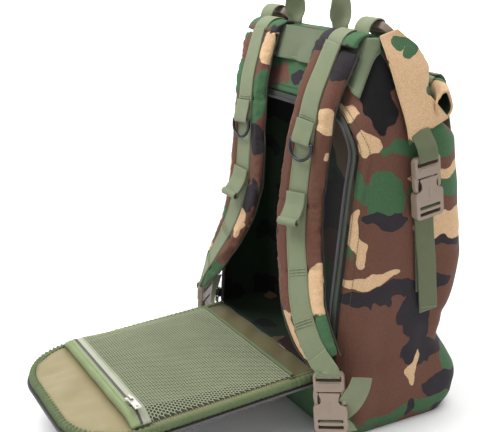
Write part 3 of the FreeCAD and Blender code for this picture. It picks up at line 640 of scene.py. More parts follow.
def on_back(x, z, lift):
    """A point on the bag's back surface, metres."""
    half, back, _, corner = smooth_level(z)
    over = min(max(abs(x) - (half - corner), 0), corner)
    y = back + corner - math.sqrt(corner ** 2 - over ** 2)
    return np.array((x, y - lift, z)) * MM


CUTTER_REACH = (-0.2, -0.012)


def build_bag():
    """The bag's shell with its inner face, cut open at the back."""
    shell = thicken(make("bag_shell", *bag_shell(), [BAG_CLOTH, BAG_INNER_PAINTED_SHADE]), 0.0022)
    opening = opening_outline()
    count = len(opening)
    verts = [(x * MM, y, z * MM) for y in CUTTER_REACH for x, z in opening]
    faces = [tuple(range(count))[::-1], tuple(range(count, 2 * count))] + grid(2, count, closed=True)
    cutter = make("cutter", verts, faces, [BAG_INNER_PAINTED_SHADE])
    face_outward(shell)
    face_outward(cutter)
    cut = shell.modifiers.new("opening", "BOOLEAN")
    cut.operation = "DIFFERENCE"
    cut.solver = "EXACT"
    cut.object = cutter
    apply_modifiers(shell)
    bpy.data.objects.remove(cutter)
    place(shell, "bag", "camo_cloth", "base_panel", "top_cover", "front_panel", "back_header", "lower_back",
          "side_panel_left", "side_panel_right")


build_bag()


def edge_path(inset, lift):
    """The opening's edge on the bag's back surface, metres."""
    return np.array([on_back(x, z, lift) for x, z in opening_outline(inset)])


# zip tape and its coil round the back opening
tape = sweep("bag_zip_tape_cloth", edge_path(4, 0.6), TO_WEARER, flat_profile(0.009, 0.0011), TAPE_DARK)
place(tape, "bag", "zip_tape", "bag_zip_tape")

TOOTH_PITCH, TOOTH_WIDTH, TOOTH_HEIGHT = 0.0021, 0.0036, 0.0016
# corners of a tooth, as shares of its pitch along the zip, of its height and of its width
TOOTH = ((-1, 0, 1), (1, 0, 1), (1, 0.7, 0.8), (0.5, 1, 0.7), (-0.5, 1, 0.7), (-1, 0.7, 0.8))


def zip_teeth(name, path, out):
    """Zip teeth: small rounded blocks across a path."""
    run, out = distances(path), np.array(out, float)
    verts, faces = [], []
    for s in np.arange(0, run[-1], TOOTH_PITCH):
        centre, ahead, back = (interpolate(s + d, run, path) for d in (0, TOOTH_PITCH / 2, -TOOTH_PITCH / 2))
        along = unit(ahead - back)
        side = np.cross(along, out)
        base = len(verts)
        for a, n, w in TOOTH:
            corner = centre + along * (a * TOOTH_PITCH * 0.32) + out * (n * TOOTH_HEIGHT)
            verts += [corner + side * (end * w * TOOTH_WIDTH / 2) for end in (-1, 1)]
        for j in range(0, 12, 2):
            k = (j + 2) % 12
            faces.append((base + j, base + k, base + k + 1, base + j + 1))
        faces += [tuple(range(base + 10, base - 1, -2)), tuple(range(base + 1, base + 12, 2))]
    return make(name, verts, faces, [COIL], smooth=False)


place(zip_teeth("bag_zip_teeth", edge_path(7.5, 1.7), TO_WEARER), "bag", "zip_tape")
# stitches of the binding strip just outside the opening
for offset, label in ((-2.5, "inner"), (-9, "outer")):
    row = stitches(f"opening_stitch_{label}", edge_path(offset, 0.2), TO_WEARER, material=THREAD_DARK)
    place(row, "bag", "camo_cloth")


# ---------------------------------------------------------------- buckles
def rounded(points, radius, steps=4):
    """A polygon with its corners rounded, millimetres."""
    out = []
    n = len(points)
    for i in range(n):
        a, b, c = (np.array(points[(i + k) % n], float) for k in (-1, 0, 1))
        before, after = a - b, c - b
        reach = min(radius, 0.45 * np.linalg.norm(before), 0.45 * np.linalg.norm(after))
        p, q = b + unit(before) * reach, b + unit(after) * reach
        for t in np.linspace(0, 1, steps + 1):
            out.append(tuple((1 - t) ** 2 * p + 2 * t * (1 - t) * b + t ** 2 * q))
    return out


def plate(outlines, low, high, bevel):
    """A flat plate between two heights from an outline and its holes, with bevelled edges."""
    data = bpy.data.curves.new("plate", "CURVE")
    data.dimensions = "2D"
    data.fill_mode = "BOTH"
    data.extrude = max((high - low) / 2 - bevel, 0.01) * MM
    data.bevel_depth = bevel * MM
    data.bevel_resolution = 2
    for points in outlines:
        spline = data.splines.new("POLY")
        spline.points.add(len(points) - 1)
        for point, (x, y) in zip(spline.points, points):
            point.co = (x * MM, y * MM, 0, 1)
        spline.use_cyclic_u = True
    data.offset = -bevel * MM
    curve = add_object("plate", data)
    done = bpy.data.meshes.new_from_object(evaluated(curve))
    bpy.data.objects.remove(curve)
    done.transform(Matrix.Translation((0, 0, (low + high) / 2 * MM)))
    done.materials.clear()
    done.materials.append(PLASTIC)
    return add_object("plate", done)


def rect(x0, x1, y0, y1, radius=0.8):
    return rounded([(x0, y0), (x1, y0), (x1, y1), (x0, y1)], radius)


def moulding(name, parts, matrix):
    """One flat-shaded piece from plates, moved to its place."""
    obj = join(name, parts)
    obj.data.transform(matrix)
    obj.data.polygons.foreach_set("use_smooth", [False] * len(obj.data.polygons))
    obj.data.update()
    return obj


def socket_mesh(name, matrix):
    """Socket half: a T-shaped face over the prongs, side rails, and a ladder for the webbing."""
    face = [(12.5, -0.3), (12.5, -3.5), (10.6, -6.5), (10.6, -12.5), (13.5, -15.5), (19, -17), (20, -20),
            (20, -46), (17.5, -50)]
    holes = [rounded(face + mirror_x(face), 2.2), rect(-15, 15, -38, -34, 1), rect(-15, 15, -46, -41.4, 1)]
    rail = [(16.5, -17), (20, -18.5), (20, -46), (17.5, -50), (13, -50), (15, -46.5), (16.5, -40)]
    return moulding(name, [
        plate(holes, 3.1, 5.5, 0.55),
        plate(holes, -5.5, -3.1, 0.55),
        plate([rounded(rail, 1)], -3.4, 3.4, 0.3),
        plate([rounded(mirror_x(rail), 1)], -3.4, 3.4, 0.3),
        plate([rect(-16.8, 16.8, -34, -31)], -3.4, 3.4, 0.3),
        plate([rect(-16.8, 16.8, -41.2, -38.2)], -2.2, 4.6, 0.9),
        plate([rect(-16.8, 16.8, -50, -46.2)], -4.0, 4.6, 0.9),
        plate([rounded([(-1.2, -24), (1.2, -24), (1.0, -12), (-1.0, -12)], 0.6)], 5.2, 5.9, 0.3),
    ], matrix)


def plug_mesh(name, matrix):
    """Plug half: a webbing bar, two sprung prongs with rounded heads, and a guide."""
    edge = [(18.5, 3.5), (18.5, 21), (15.5, 25)]
    edge += mirror_x(edge) + [(-15, 0.8), (15, 0.8)]
    prong = [(15, 0.9), (18.4, 4), (19.2, 0), (19.6, -6), (18.6, -14), (16, -17.8), (13.2, -17.5),
             (14.6, -12), (14.4, -6), (12.8, -1)]
    return moulding(name, [
        plate([rounded(edge, 3.2), rect(-15, 15, 14.2, 20.4, 1.2)], -4.5, 4.5, 1.0),
        plate([rounded(prong, 1.2)], -3.0, 3.0, 0.6),
        plate([rounded(mirror_x(prong), 1.2)], -3.0, 3.0, 0.6),
        plate([rect(-2.5, 2.5, -20, 2, 1)], -2.6, 2.6, 0.5),
        plate([rect(-13, 13, 8.6, 12.2, 1)], 4.2, 5.2, 0.4),
    ], matrix)


def buckle_pair(prefix, side, matrix, plug_body):
    """Both halves of a buckle; the socket is a body of its own."""
    plug, socket = f"{prefix}_plug_{side}", f"{prefix}_socket_{side}"
    place(plug_mesh(f"{plug}_moulded", matrix), plug_body, "buckle_plastic", plug)
    place(socket_mesh(f"{socket}_moulded", matrix), socket, "buckle_plastic", socket)


# centre of the ladder's middle bar in the socket's own axes, and how far out the webbing goes round it
BAR_Y, BAR_Z, BAR_LOOP = -39.7, 1.0, 2.7


def socket_loop(prefix, side, matrix, material=WEBBING):
    """Webbing wrapped round the bar of a buckle's socket."""
    turn = np.linspace(math.radians(-110), math.radians(200), 18)
    loop = [(0, BAR_Y + BAR_LOOP * math.cos(a), BAR_Z + BAR_LOOP * math.sin(a)) for a in turn]
    pts = np.array(in_axes(matrix, loop)) * MM
    normal = np.cross(tangents(pts), turned(matrix, [(1, 0, 0)])[0])
    web = sweep(f"{prefix}_loop_{side}", pts, normal, flat_profile(0.027, 0.0013), material)
    place(web, f"{prefix}_socket_{side}", "olive_webbing")


# ---------------------------------------------------------------- side webbing
# the end of a web that goes over a plug's bar, and which way it faces there, in the buckle's own axes
OVER_BAR = [(0, 20.8, 5.0), (0, 18.8, 1.0), (0, 19.2, -4)]
OVER_BAR_FACES = [(0, -0.5, 1), (0, -1, 0.3), (0, -1, 0)]
UP = (0, 0, 1)
SIDE_BUCKLE, SIDE_ALONG = (167.5, 19, 327), (0, -0.13, 0.99)
for side, sign in SIDES:
    out = (sign, 0, 0)
    at = axes_at(mirrored(SIDE_BUCKLE, sign), SIDE_ALONG, out)
    buckle_pair("side", side, at, "bag")
    upper = [(sign * 158.0, 12, 380)] + in_axes(at, [(0, 38, 1.6), (0, 30, 4.4), (0, 24, 5.5)] + OVER_BAR)
    sewn = [(sign * 158.6, 20, 326), (sign * 158.9, 27, 262), (sign * 160.2, 34, 180)]
    tail = [(160.0, 22, 300), (160.2, 28.5, 250), (161.6, 33, 215), (162.4, 40, 152)]
    tail = [mirrored(p, sign) for p in tail]
    facing = turned(at, [UP] * 4 + OVER_BAR_FACES)
    strips = [band("upper", upper, 1.4, facing, WEBBING_SIDE_SHADED, step=0.002),
              band("sewn", sewn, 1.2, out, WEBBING_DARK), band("tail", tail, 1.4, out, WEBBING_SIDE_SHADED)]
    place(join(f"side_webbing_{side}", strips), "bag", "olive_webbing", f"side_web_{side}")
    socket_loop("side", side, at, WEBBING_SIDE_SHADED)
    across = np.array([(sign * 163.9, 26.5 + k * 5, 158 - 0.5 * k) for k in range(6)]) * MM
    place(stitches(f"side_tack_{side}", across, out), "bag", "olive_webbing")

# ---------------------------------------------------------------- rolled top, wings, yoke
ROLL_Y, ROLL_Z, ROLL_HALF = 69, 412, 149


def roll_cloth():
    """The rolled top: a flattened tube that opens out at both ends, with folded edges."""
    xs = np.concatenate([np.linspace(-ROLL_HALF, -120, 14), np.linspace(-110, 110, 40),
                         np.linspace(120, ROLL_HALF, 14)])
    turns = np.linspace(0, 2 * math.pi, 56, endpoint=False)
    verts = []
    for x in xs:
        edge = max(0.0, (abs(x) - 112) / 34)
        pinch = 1 - 0.10 * math.exp(-((abs(x) - 106) / 16) ** 2)
        flare = 1 + 0.22 * edge ** 2
        for a in turns:
            c, s = math.cos(a), math.sin(a)
            wobble = 1 + 0.06 * fuzz((x, 60 * c, 60 * s), 0.02, 4)
            peak = 1 + 0.26 * edge ** 2 * math.exp(-((a - 1.1) / 0.35) ** 2)
            peak -= 0.16 * edge * math.exp(-((a - 2.1) / 0.5) ** 2)
            y = (12.4 - 1.4 * edge) * c * wobble * peak - 1.5 * edge * s
            z = (20.5 - 4.5 * edge ** 2) * s * wobble * peak - 9.0 * edge ** 2
            lean = math.copysign(0.34 * edge ** 2 * y, x)
            y = y * pinch * flare - 15 * edge ** 2
            verts.append((x + lean, ROLL_Y + y, ROLL_Z + z * pinch + 1.5 * edge))
    faces = grid(len(xs), len(turns), closed=True)
    return thicken(make("rolled_top", np.array(verts) * MM, faces, [LID_CLOTH, INSIDE_GREEN]), 0.0026)


roll = roll_cloth()
face_outward(roll)
place(roll, "bag", "camo_cloth", "top_roll")
# wings: the folded sides of the lid, standing off the bag with a crisp back edge
WING_BACK = [(-30, 487), (-26, 462), (-19, 432), (-11, 400), (-4, 366)]
WING_FRONT = [(0, 492), (24, 474), (37, 451), (31, 421), (60, 389)]
WING_ROWS, WING_COLUMNS = 34, 30


def wing(side, sign):
    verts = []
    for t in np.linspace(0, 1, WING_ROWS):
        back, front = (interpolate(t * 4, range(5), edge) for edge in (WING_BACK, WING_FRONT))
        for s in np.linspace(0, 1, WING_COLUMNS):
            y, z = back * (1 - s) + front * s
            stand = 8.5 * (1 - s) ** 2 + 2.0 * math.sin(s * math.pi) * math.sin(t * math.pi) + 1.2
            stand += 1.2 * fuzz((y, z, sign * 10), 0.03, 7)
            verts.append((sign * (level_at(z)[0] + stand), y, z))
    faces = grid(WING_ROWS, WING_COLUMNS)
    if sign > 0:
        faces = [f[::-1] for f in faces]
    # the wing's inner face gets the painted shade
    return thicken(make(f"lid_fold_{side}", np.array(verts) * MM, faces, [LID_CLOTH, PAINTED_SHADE_INNER]), 0.0022)


for side, sign in SIDES:
    place(wing(side, sign), "bag", "camo_cloth", f"lid_wing_{side}")


def yoke_edge(x):
    """Height of the yoke's lower edge, millimetres."""
    return 444 - 34 * (max(abs(x) - 60, 0) / 90) ** 1.3


def yoke_flap():
    columns, rows, half, top = 90, 34, 132, 484
    verts, uv = [], []
    for t in np.linspace(0, 1, rows):
        for x in np.linspace(-half, half, columns):
            z = top + (yoke_edge(x) - top) * t
            ruck = 1.6 * math.sin(x * 0.11 + 2 * fuzz((x, z, 0), 0.03, 2)) * (0.3 + t) + 2.2
            verts.append(on_back(x, z, ruck + 0.8))
            uv.append(((x + half) / (2 * half) * 0.296, t * 0.05))
    return thicken(make("yoke_flap", verts, grid(rows, columns, flip=True), [YOKE_CLOTH], uv), 0.0018, 0)


place(yoke_flap(), "bag", "olive_webbing", "yoke")
hem = np.array([on_back(x, yoke_edge(x) + 4, 4.6) for x in np.linspace(-130, 130, 90)])
place(stitches("yoke_stitch", hem, TO_WEARER), "bag", "olive_webbing")

# ---------------------------------------------------------------- carry handle
HANDLE_Y, HANDLE_Z = -27, 486


def handle():
    half, top, bend = 50, 62, 28
    pts = [(half, -1), (half, 7), (half, 16), (half + 0.5, 26), (half, top - bend)]
    for a in np.radians((30, 60, 90)):
        pts.append((half - bend * (1 - math.cos(a)), top - bend * (1 - math.sin(a))))
    pts += [(8, top + 0.3)] + mirror_x(pts)
    turns = [88, 80, 45, 12, 0, 0, 0, 0]
    turns += [0] + turns[::-1]
    path, at = curve_through(np.array([(x, HANDLE_Y, HANDLE_Z + z) for x, z in pts]) * MM)
    turn = np.radians(np.interp(at, np.arange(len(turns)), turns))
    side = np.cross(np.array((0, 1, 0)), tangents(path))
    # the face starts square to Y where it is sewn flat and turns to face X as it rises
    normal = side * np.cos(turn)[:, None] - np.outer(np.sin(turn) * np.sign(path[:, 0]), (0, 1, 0))
    return sweep("carry_handle_web", path, normal, flat_profile(0.026, 0.003, -0.0015), WEBBING)


place(handle(), "carry_handle", "olive_webbing", "carry_handle")

# ---------------------------------------------------------------- top webbing
TOP_X, TOP_ALONG, TOP_OUT = 106, (0, -0.813, 0.582), (0, 0.582, 0.813)
for side, sign in SIDES:
    at = axes_at((sign * TOP_X, -1.3, 483.5), TOP_ALONG, TOP_OUT)
    buckle_pair("top", side, at, "bag")
    crest = [(sign * TOP_X, y, z) for y, z in ((-36, 482), (-36.5, 488), (-34, 496), (-28, 502))]
    crest += in_axes(at, [(0, 27, 5.0), (0, 23, 5.6)] + OVER_BAR)
    facing = [(0, -1, 0), (0, -1, 0.2), (0, -1, 1), (0, -0.3, 1)] + turned(at, [UP] * 2 + OVER_BAR_FACES)
    front = [(ROLL_Y + 14.4 * math.cos(a), ROLL_Z + 22.4 * math.sin(a))
             for a in np.radians((150, 125, 100, 75, 50, 25, 0, -20))]
    front = [(sign * TOP_X, y, z) for y, z in front + [(88, 388), (92.5, 372), (98, 345)]]
    strips = [band("crest", crest, 1.6, facing, step=0.002), band("front", front, 1.6, (0, 1, 0.6))]
    place(join(f"top_webbing_{side}", strips), "bag", "olive_webbing", f"top_web_{side}")
    socket_loop("top", side, at)

# ---------------------------------------------------------------- shoulder straps
STRAP_PATH = np.array([
    (84, -52, 474), (81, -62, 448), (76, -75, 410), (71, -82, 360), (68, -86, 318), (68, -89, 283),
    (74, -94, 246), (88, -100, 208), (106, -108, 172), (130, -111, 138), (153, -107, 110)], float)
# at each point of the path: how far the strap turns outwards in degrees, and its share of the full width
STRAP_TWIST = {
    "left": (0, 2, 6, 15, 18, 20, 22, 26, 32, 40, 46),
    "right": (0, 2, 4, 6, 8, 8, 2, -8, -20, -34, -46),
}
STRAP_TAPER = (1, 1, 1, 1, 1, 1, 1, 0.98, 0.9, 0.74, 0.5)
STRAP_WIDE, STRAP_HALF = 74, 6.7
STRAP_BUCKLE, BUCKLE_TURN = (164, -105, 78), 50


def strap_frame(side, sign, step):
    """A strap's centre line with its directions and half width at each point."""
    path, at = curve_through(STRAP_PATH * np.array((sign, 1, 1)) * MM, step)
    turn = np.radians(np.interp(at, np.arange(11), STRAP_TWIST[side]))
    guide = np.stack([np.sin(turn), -np.cos(turn), np.zeros(len(turn))], 1)
    along = tangents(path)
    normal = square_to(along, guide)
    half = np.interp(at, np.arange(11), STRAP_TAPER) * STRAP_WIDE / 2 * MM
    across = np.cross(along, normal)
    return SimpleNamespace(path=path, at=at, along=along, normal=normal, across=across, half=half)


def coordinates(data):
    values = np.empty(len(data.vertices) * 3)
    data.vertices.foreach_get("co", values)
    return values.reshape(-1, 3)


PUFF_VOXEL, PUFF_PRESSURE, PUFF_LIMIT, PUFF_FRAMES = 0.005, 4.0, 0.0045, 20


def inflate(obj):
    """Blow a closed pad up a little with a cloth simulation, and keep the result."""
    remesh = obj.modifiers.new("remesh", "REMESH")
    remesh.mode = "VOXEL"
    remesh.voxel_size = PUFF_VOXEL
    materials = list(obj.data.materials)
    apply_modifiers(obj)
    obj.data.materials.clear()
    for material in materials:
        obj.data.materials.append(material)
    rest = coordinates(obj.data)
    cloth = obj.modifiers.new("puff", "CLOTH")
    cloth.settings.use_pressure = True
    cloth.settings.uniform_pressure_force = PUFF_PRESSURE
    cloth.settings.effector_weights.gravity = 0
    cloth.settings.quality = 5
    cloth.point_cache.frame_start = 1
    cloth.point_cache.frame_end = PUFF_FRAMES
    scene = bpy.context.scene
    for number in range(1, PUFF_FRAMES + 1):
        scene.frame_set(number)
    puffed = obj.evaluated_get(bpy.context.evaluated_depsgraph_get())
    shift = coordinates(puffed.to_mesh()) - rest
    puffed.to_mesh_clear()
    obj.modifiers.clear()
    scene.frame_set(1)
    size = np.linalg.norm(shift, axis=1, keepdims=True)
    shift *= np.minimum(1, PUFF_LIMIT / np.maximum(size, 1e-9))
    obj.data.vertices.foreach_set("co", (rest + shift).ravel())
    obj.data.polygons.foreach_set("use_smooth", [True] * len(obj.data.polygons))
    obj.data.update()


STRAP_BLOBS = {
    "left": [
        (BROWN, (88, -85, 320), (75, 70, 180)), (BLACK, (112, -60, 458), (24, 30, 15)),
        (BLACK, (52, -55, 474), (16, 20, 16)), (TAN, (105, -76, 393), (24, 22, 14)),
        (TAN, (106, -84, 342), (9, 22, 8)), (BLACK, (38, -90, 228), (17, 40, 50)),
        (TAN, (118, -95, 190), (26, 30, 34)), (GREEN, (60, -105, 160), (17, 20, 8)),
        (TAN, (98, -115, 128), (24, 30, 32)), (GREEN, (158, -100, 132), (24, 40, 32)),
    ],
    "right": [
        (BROWN, (-88, -85, 320), (75, 70, 180)), (TAN, (-52, -60, 452), (16, 30, 20)),
        (GREEN, (-48, -78, 392), (17, 30, 38)), (BLACK, (-44, -84, 338), (16, 30, 20)),
        (GREEN, (-108, -76, 400), (18, 30, 32)), (GREEN, (-112, -60, 470), (14, 20, 8)),
        (TAN, (-104, -90, 290), (10, 30, 20)), (BLACK, (-46, -92, 262), (14, 30, 22)),
        (TAN, (-60, -96, 228), (14, 30, 26)), (GREEN, (-110, -96, 240), (20, 30, 24)),
    ],
}
# bar tacks: where they cross the strap along its path, and the pitch, length and radius of their stitches
TACKS = (2.45, 5.0, 7.1, 8.6)
TACK_STITCH = (0.0022, 0.0018, 0.00045)
# in metres: half width and soft edge of the channel under the webbing, depth of puckers and ripples
CHANNEL_HALF, CHANNEL_EDGE, PUCKER, RIPPLE = 0.0175, 0.004, 0.0022, 0.0006


def near_path(points, path):
    """Index of the nearest path point for each point."""
    best = np.zeros(len(points), int)
    for start in range(0, len(points), 4000):
        chunk = points[start:start + 4000]
        best[start:start + 4000] = ((chunk[:, None] - path[None]) ** 2).sum(2).argmin(1)
    return best


def strap_pad(side, sign):
    """The padded strap: puffed up, then pressed in along the webbing and at the bar tacks."""
    coarse = strap_frame(side, sign, 0.005)
    sections = np.array([cushion_profile(h + 0.0022, (STRAP_HALF - 1.9) * MM) for h in coarse.half])
    cloth = camo(f"camo_strap_{side}", STRAP_BLOBS[side], (0, 0, 40) if sign > 0 else (60, 0, -80))
    pad = sweep(f"strap_pad_{side}", coarse.path, coarse.normal, sections, cloth, SPACER)
    inflate(pad)
    sub = pad.modifiers.new("smooth", "SUBSURF")
    sub.levels = sub.render_levels = 1
    data = apply_modifiers(pad).data
    co = coordinates(data)
    strap = strap_frame(side, sign, 0.002)
    index = near_path(co, strap.path)
    rel, normal, at, half = co - strap.path[index], strap.normal[index], strap.at[index], strap.half[index]
    a, n = (rel * strap.across[index]).sum(1), (rel * normal).sum(1)
    # the sewn webbing presses a channel into the front, and each bar tack a pucker
    channel = np.clip((CHANNEL_HALF - np.abs(a)) / CHANNEL_EDGE, 0, 1)
    lowered = np.minimum(n, (STRAP_HALF - 0.9) * MM)
    pucker = sum(np.exp(-((at - tack) / 0.10) ** 2) for tack in TACKS) * PUCKER
    ripple = RIPPLE * np.sin(at * 26 + 3 * np.sin(at * 5) + a * 90) * (np.abs(a) > 0.017)
    dip = np.clip(n / 0.005, 0, 1) * (pucker * np.clip((half - np.abs(a)) / 0.01, 0, 1) - ripple)
    target = n * (1 - channel) + lowered * channel - dip
    target = np.clip(target, -(STRAP_HALF + 0.2) * MM, (STRAP_HALF + 1.6) * MM)
    co += normal * (target - n)[:, None]
    data.vertices.foreach_set("co", co.ravel())
    # faces turned to the bag are spacer mesh
    groups = [int(np.dot(np.array(polygon.normal), normal[polygon.vertices[0]]) < -0.45)
              for polygon in data.polygons]
    data.polygons.foreach_set("material_index", groups)
    data.update()
    place(pad, f"strap_{side}", "camo_cloth",
          f"strap_mesh_{side}", f"strap_foam_{side}", f"strap_cover_{side}")
    for edge, label in ((-1, "inner"), (1, "outer")):
        stations = np.linspace(0, 10, 41)
        reach = [np.max(edge * a[np.abs(at - station) < 0.2]) for station in stations]
        rim = edge * (np.interp(strap.at, stations, reach) - 0.0003)
        line = strap.path + strap.across * rim[:, None] + strap.normal * -0.0015
        tube = sweep(f"strap_piping_{label}_{side}", line, strap.normal, round_profile(0.0011), PIPING)
        place(tube, f"strap_{side}", "camo_cloth")


def on_strap(side, sign, index, lift):
    """Axes on the strap's face at a path point, as the CAD has them."""
    pts = STRAP_PATH * np.array((sign, 1, 1))
    up = pts[index - 1] - pts[index + 1]
    turn = math.radians(STRAP_TWIST[side][index])
    out = square_to(unit(up), np.array((math.sin(turn), -math.cos(turn), 0)))
    return axes_at(pts[index] + out * (STRAP_HALF + 0.6 + lift), up, out)


# height of the ring's middle over the strap: two layers of web, gaps and half the ring's wire; its web loop
RING_LIFT, RING_LOOP = 2 * 1.6 + 0.3 + 1.9 + 0.3, 2.9


def strap_webbing(side, sign):
    """The long webbing with its folded upper length, the loop that holds the ring, and the stitching."""
    strap = strap_frame(side, sign, 0.0025)
    face, thick = (STRAP_HALF - 0.6) * MM, 0.0016
    top = strap.at < 3.0
    double = flat_profile(0.0285, thick, face + thick)
    pieces = [sweep("main", strap.path, strap.normal, flat_profile(0.028, thick, face), WEBBING),
              sweep("double", strap.path[top], strap.normal[top], double, WEBBING)]
    ring_at = on_strap(side, sign, 3, RING_LIFT)
    turn = np.radians((110, 150, 180, 210, 250))
    round_ring = [(0, RING_LOOP * math.cos(a), RING_LOOP * math.sin(a)) for a in turn]
    fold = [(0, 27, -0.6), (0, 17, 0.6), (0, 8, 2.4), (0, 2.5, 3.1)] + round_ring
    fold += [(0, 4, -3.1), (0, 14, -3.4)]
    pts, _ = curve_through(np.array(in_axes(ring_at, fold)) * MM, 0.0015)
    normal = np.cross(turned(ring_at, [(1, 0, 0)])[0], tangents(pts))
    pieces.append(sweep("loop", pts, normal, flat_profile(0.0275, 0.0014), WEBBING))
    place(join(f"strap_webbing_{side}", pieces), f"strap_{side}", "olive_webbing", f"strap_web_{side}")
    rows = []
    for edge in (-0.0122, 0.0122):
        line = strap.path + strap.across * edge + strap.normal * (face + 0.0018)
        rows.append(stitches("edge", line, strap.normal))
    for tack in TACKS:
        k = int(np.abs(strap.at - tack).argmin())
        base = strap.path[k] + strap.normal[k] * (face + (0.0036 if tack < 3 else 0.002))
        for shift in (-0.0035, 0, 0.0035):
            zigzag = [base + strap.along[k] * (shift + 0.0008 * ((j % 2) * 2 - 1))
                      + strap.across[k] * (j - 12) * 0.00105 for j in range(25)]
            rows.append(stitches("tack", zigzag, strap.normal[k], *TACK_STITCH))
    place(join(f"strap_stitching_{side}", rows), f"strap_{side}", "olive_webbing")


def strap_tab(side, sign):
    """The pull tab: a flap that lifts off the strap and curls at its end."""
    at = on_strap(side, sign, 5, 1.6 + 0.8)
    flap = [(0, 15, -0.6), (0, 8, -0.4), (0, 0, 0.6), (0, -8, 4.0), (0, -15, 8.2), (0, -20, 11.2)]
    pts, _ = curve_through(np.array(in_axes(at, flap)) * MM, 0.002)
    curl = [(0, -20 + 3.4 * math.sin(a), 13.4 - 3.2 * math.cos(a)) for a in np.radians(np.arange(0, 400, 25))]
    spiral, _ = curve_through(np.array(in_axes(at, curl)) * MM, 0.0012)
    axis, normal = turned(at, [(1, 0, 0), UP])
    tab = join(f"strap_pull_tab_{side}", [
        sweep("flap", pts, normal, flat_profile(0.028, 0.003), WEBBING),
        sweep("curl", spiral, np.cross(tangents(spiral), axis), flat_profile(0.0278, 0.0015), WEBBING)])
    place(tab, f"strap_{side}", "olive_webbing", f"strap_tab_{side}")


def strap_root(side, sign):
    """Pad and webbing where the strap is sewn to the bag."""
    line = [(84, -29, 484.6), (84, -37, 486.4), (84, -45, 484.6), (84, -51, 479.6), (84, -54.5, 473)]
    path, at = curve_through(np.array([mirrored(p, sign) for p in line]) * MM, 0.002)
    thick = np.interp(at, (0, 2, 3, 4), (2.0, 2.6, 4.0, 5.2)) * MM
    sections = np.array([cushion_profile(0.0362, t) for t in thick])
    cloth = bpy.data.materials[f"camo_strap_{side}"]
    root = sweep(f"strap_top_{side}", path, (0, -0.6, 1), sections, cloth)
    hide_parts(f"strap_root_{side}")
    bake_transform(root)
    line = [(84, -30, 487.2), (84, -38, 489.4), (84, -47, 487.4), (84, -54.5, 481.6), (84, -58.9, 473.5)]
    web = band(f"strap_top_web_{side}", [mirrored(p, sign) for p in line], 1.7, (0, -0.6, 1), width=28.4)
    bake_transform(web)


def strap_lower(side, sign):
    """The plug's webbing, the webbing round the socket's bar, its free end, and the anchor web."""
    turn = math.radians(BUCKLE_TURN)
    out = (sign * math.sin(turn), -math.cos(turn), 0)
    at = axes_at(mirrored(STRAP_BUCKLE, sign), mirrored((-0.12, -0.02, 1), sign), out)
    buckle_pair("strap", side, at, f"strap_{side}")
    strap = strap_frame(side, sign, 0.004)
    start = tuple((strap.path[-4] + strap.normal[-4] * (STRAP_HALF + 0.5) * MM) / MM)
    web = [start] + in_axes(at, [(0, 28, 6.0), (0, 24, 6.4), (0, 20.8, 5.6), (0, 18.8, 1.0), (0, 19.2, -4)])
    guides = [tuple(strap.normal[-4])] + [out] * 3 + turned(at, [(0, -0.8, 1), (0, -1, 0.2)])
    place(band(f"plug_webbing_{side}", web, 1.6, guides, step=0.002), f"strap_{side}", "olive_webbing")
    socket_loop("strap", side, at)
    lower = in_axes(at, [(0, -36, -7.6), (0, -44, -8.4)]) + [(sign * 168, -87, 27), (sign * 162, -76, 15)]
    anchor = band(f"strap_anchor_web_{side}", lower, 1.5, out, width=27)
    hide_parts(f"strap_tail_{side}")
    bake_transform(anchor)
    tail = in_axes(at, [(sign * 2, -44, -10.5), (sign * 7, -34, -12.5)])
    tail += [mirrored(p, sign) for p in ((180.5, -87, 66), (186, -80, 84), (187.5, -76, 100))]
    facing = [out, out, (sign * 0.9, -0.5, 0), (sign * 0.95, -0.3, 0), (sign, -0.1, 0)]
    place(band(f"strap_free_end_{side}", tail, 1.5, facing), f"strap_{side}", "olive_webbing")


for side, sign in SIDES:
    strap_pad(side, sign)
    strap_webbing(side, sign)
    strap_tab(side, sign)
    strap_root(side, sign)
    strap_lower(side, sign)


# ---------------------------------------------------------------- back panel
PANEL_TILT = math.radians(3)
HALF, LENGTH, CORNER = 128, 307, 78
# where the pocket covers the lining, and where the lining's root ends
MOUTH_AT, POCKET_ROOT, COVERED_HALF, LINING_ROOT_END = 224, -36, 0.117, -38


def panel_point(x, y, z):
    """A point of the panel's own axes, millimetres, as metres in the shared frame."""
    c, s = math.cos(PANEL_TILT), math.sin(PANEL_TILT)
    return (x * MM, (-94 + y * c - z * s) * MM, (79 + y * s + z * c) * MM)


def panel_width(y):
    """Half width of the panel at a distance y (negative) from the hinge."""
    over = -y - (LENGTH - CORNER)
    if over <= 0:
        return HALF
    return HALF - CORNER + math.sqrt(max(CORNER ** 2 - over ** 2, 0))


def outline(inset, level, start, step):
    """The panel's edge from the hinge round the tip and back, inset inwards, in panel axes."""
    half, length, corner = HALF - inset, LENGTH - inset, CORNER - inset
    right = [(half, y) for y in np.arange(start, -(length - corner), -step)]
    turn = np.radians(np.arange(0, 90, math.degrees(step / corner)))
    right += [(half - corner + corner * math.cos(a), -(length - corner) - corner * math.sin(a)) for a in turn]
    right += [(x, -length) for x in np.arange(half - corner, 0, -step)]
    return np.array([(x, y, level) for x, y in right + mirror_x(right)])


def to_world(points):
    return np.array([panel_point(*p) for p in points])


PANEL_UP = np.array((0, -math.sin(PANEL_TILT), math.cos(PANEL_TILT)))


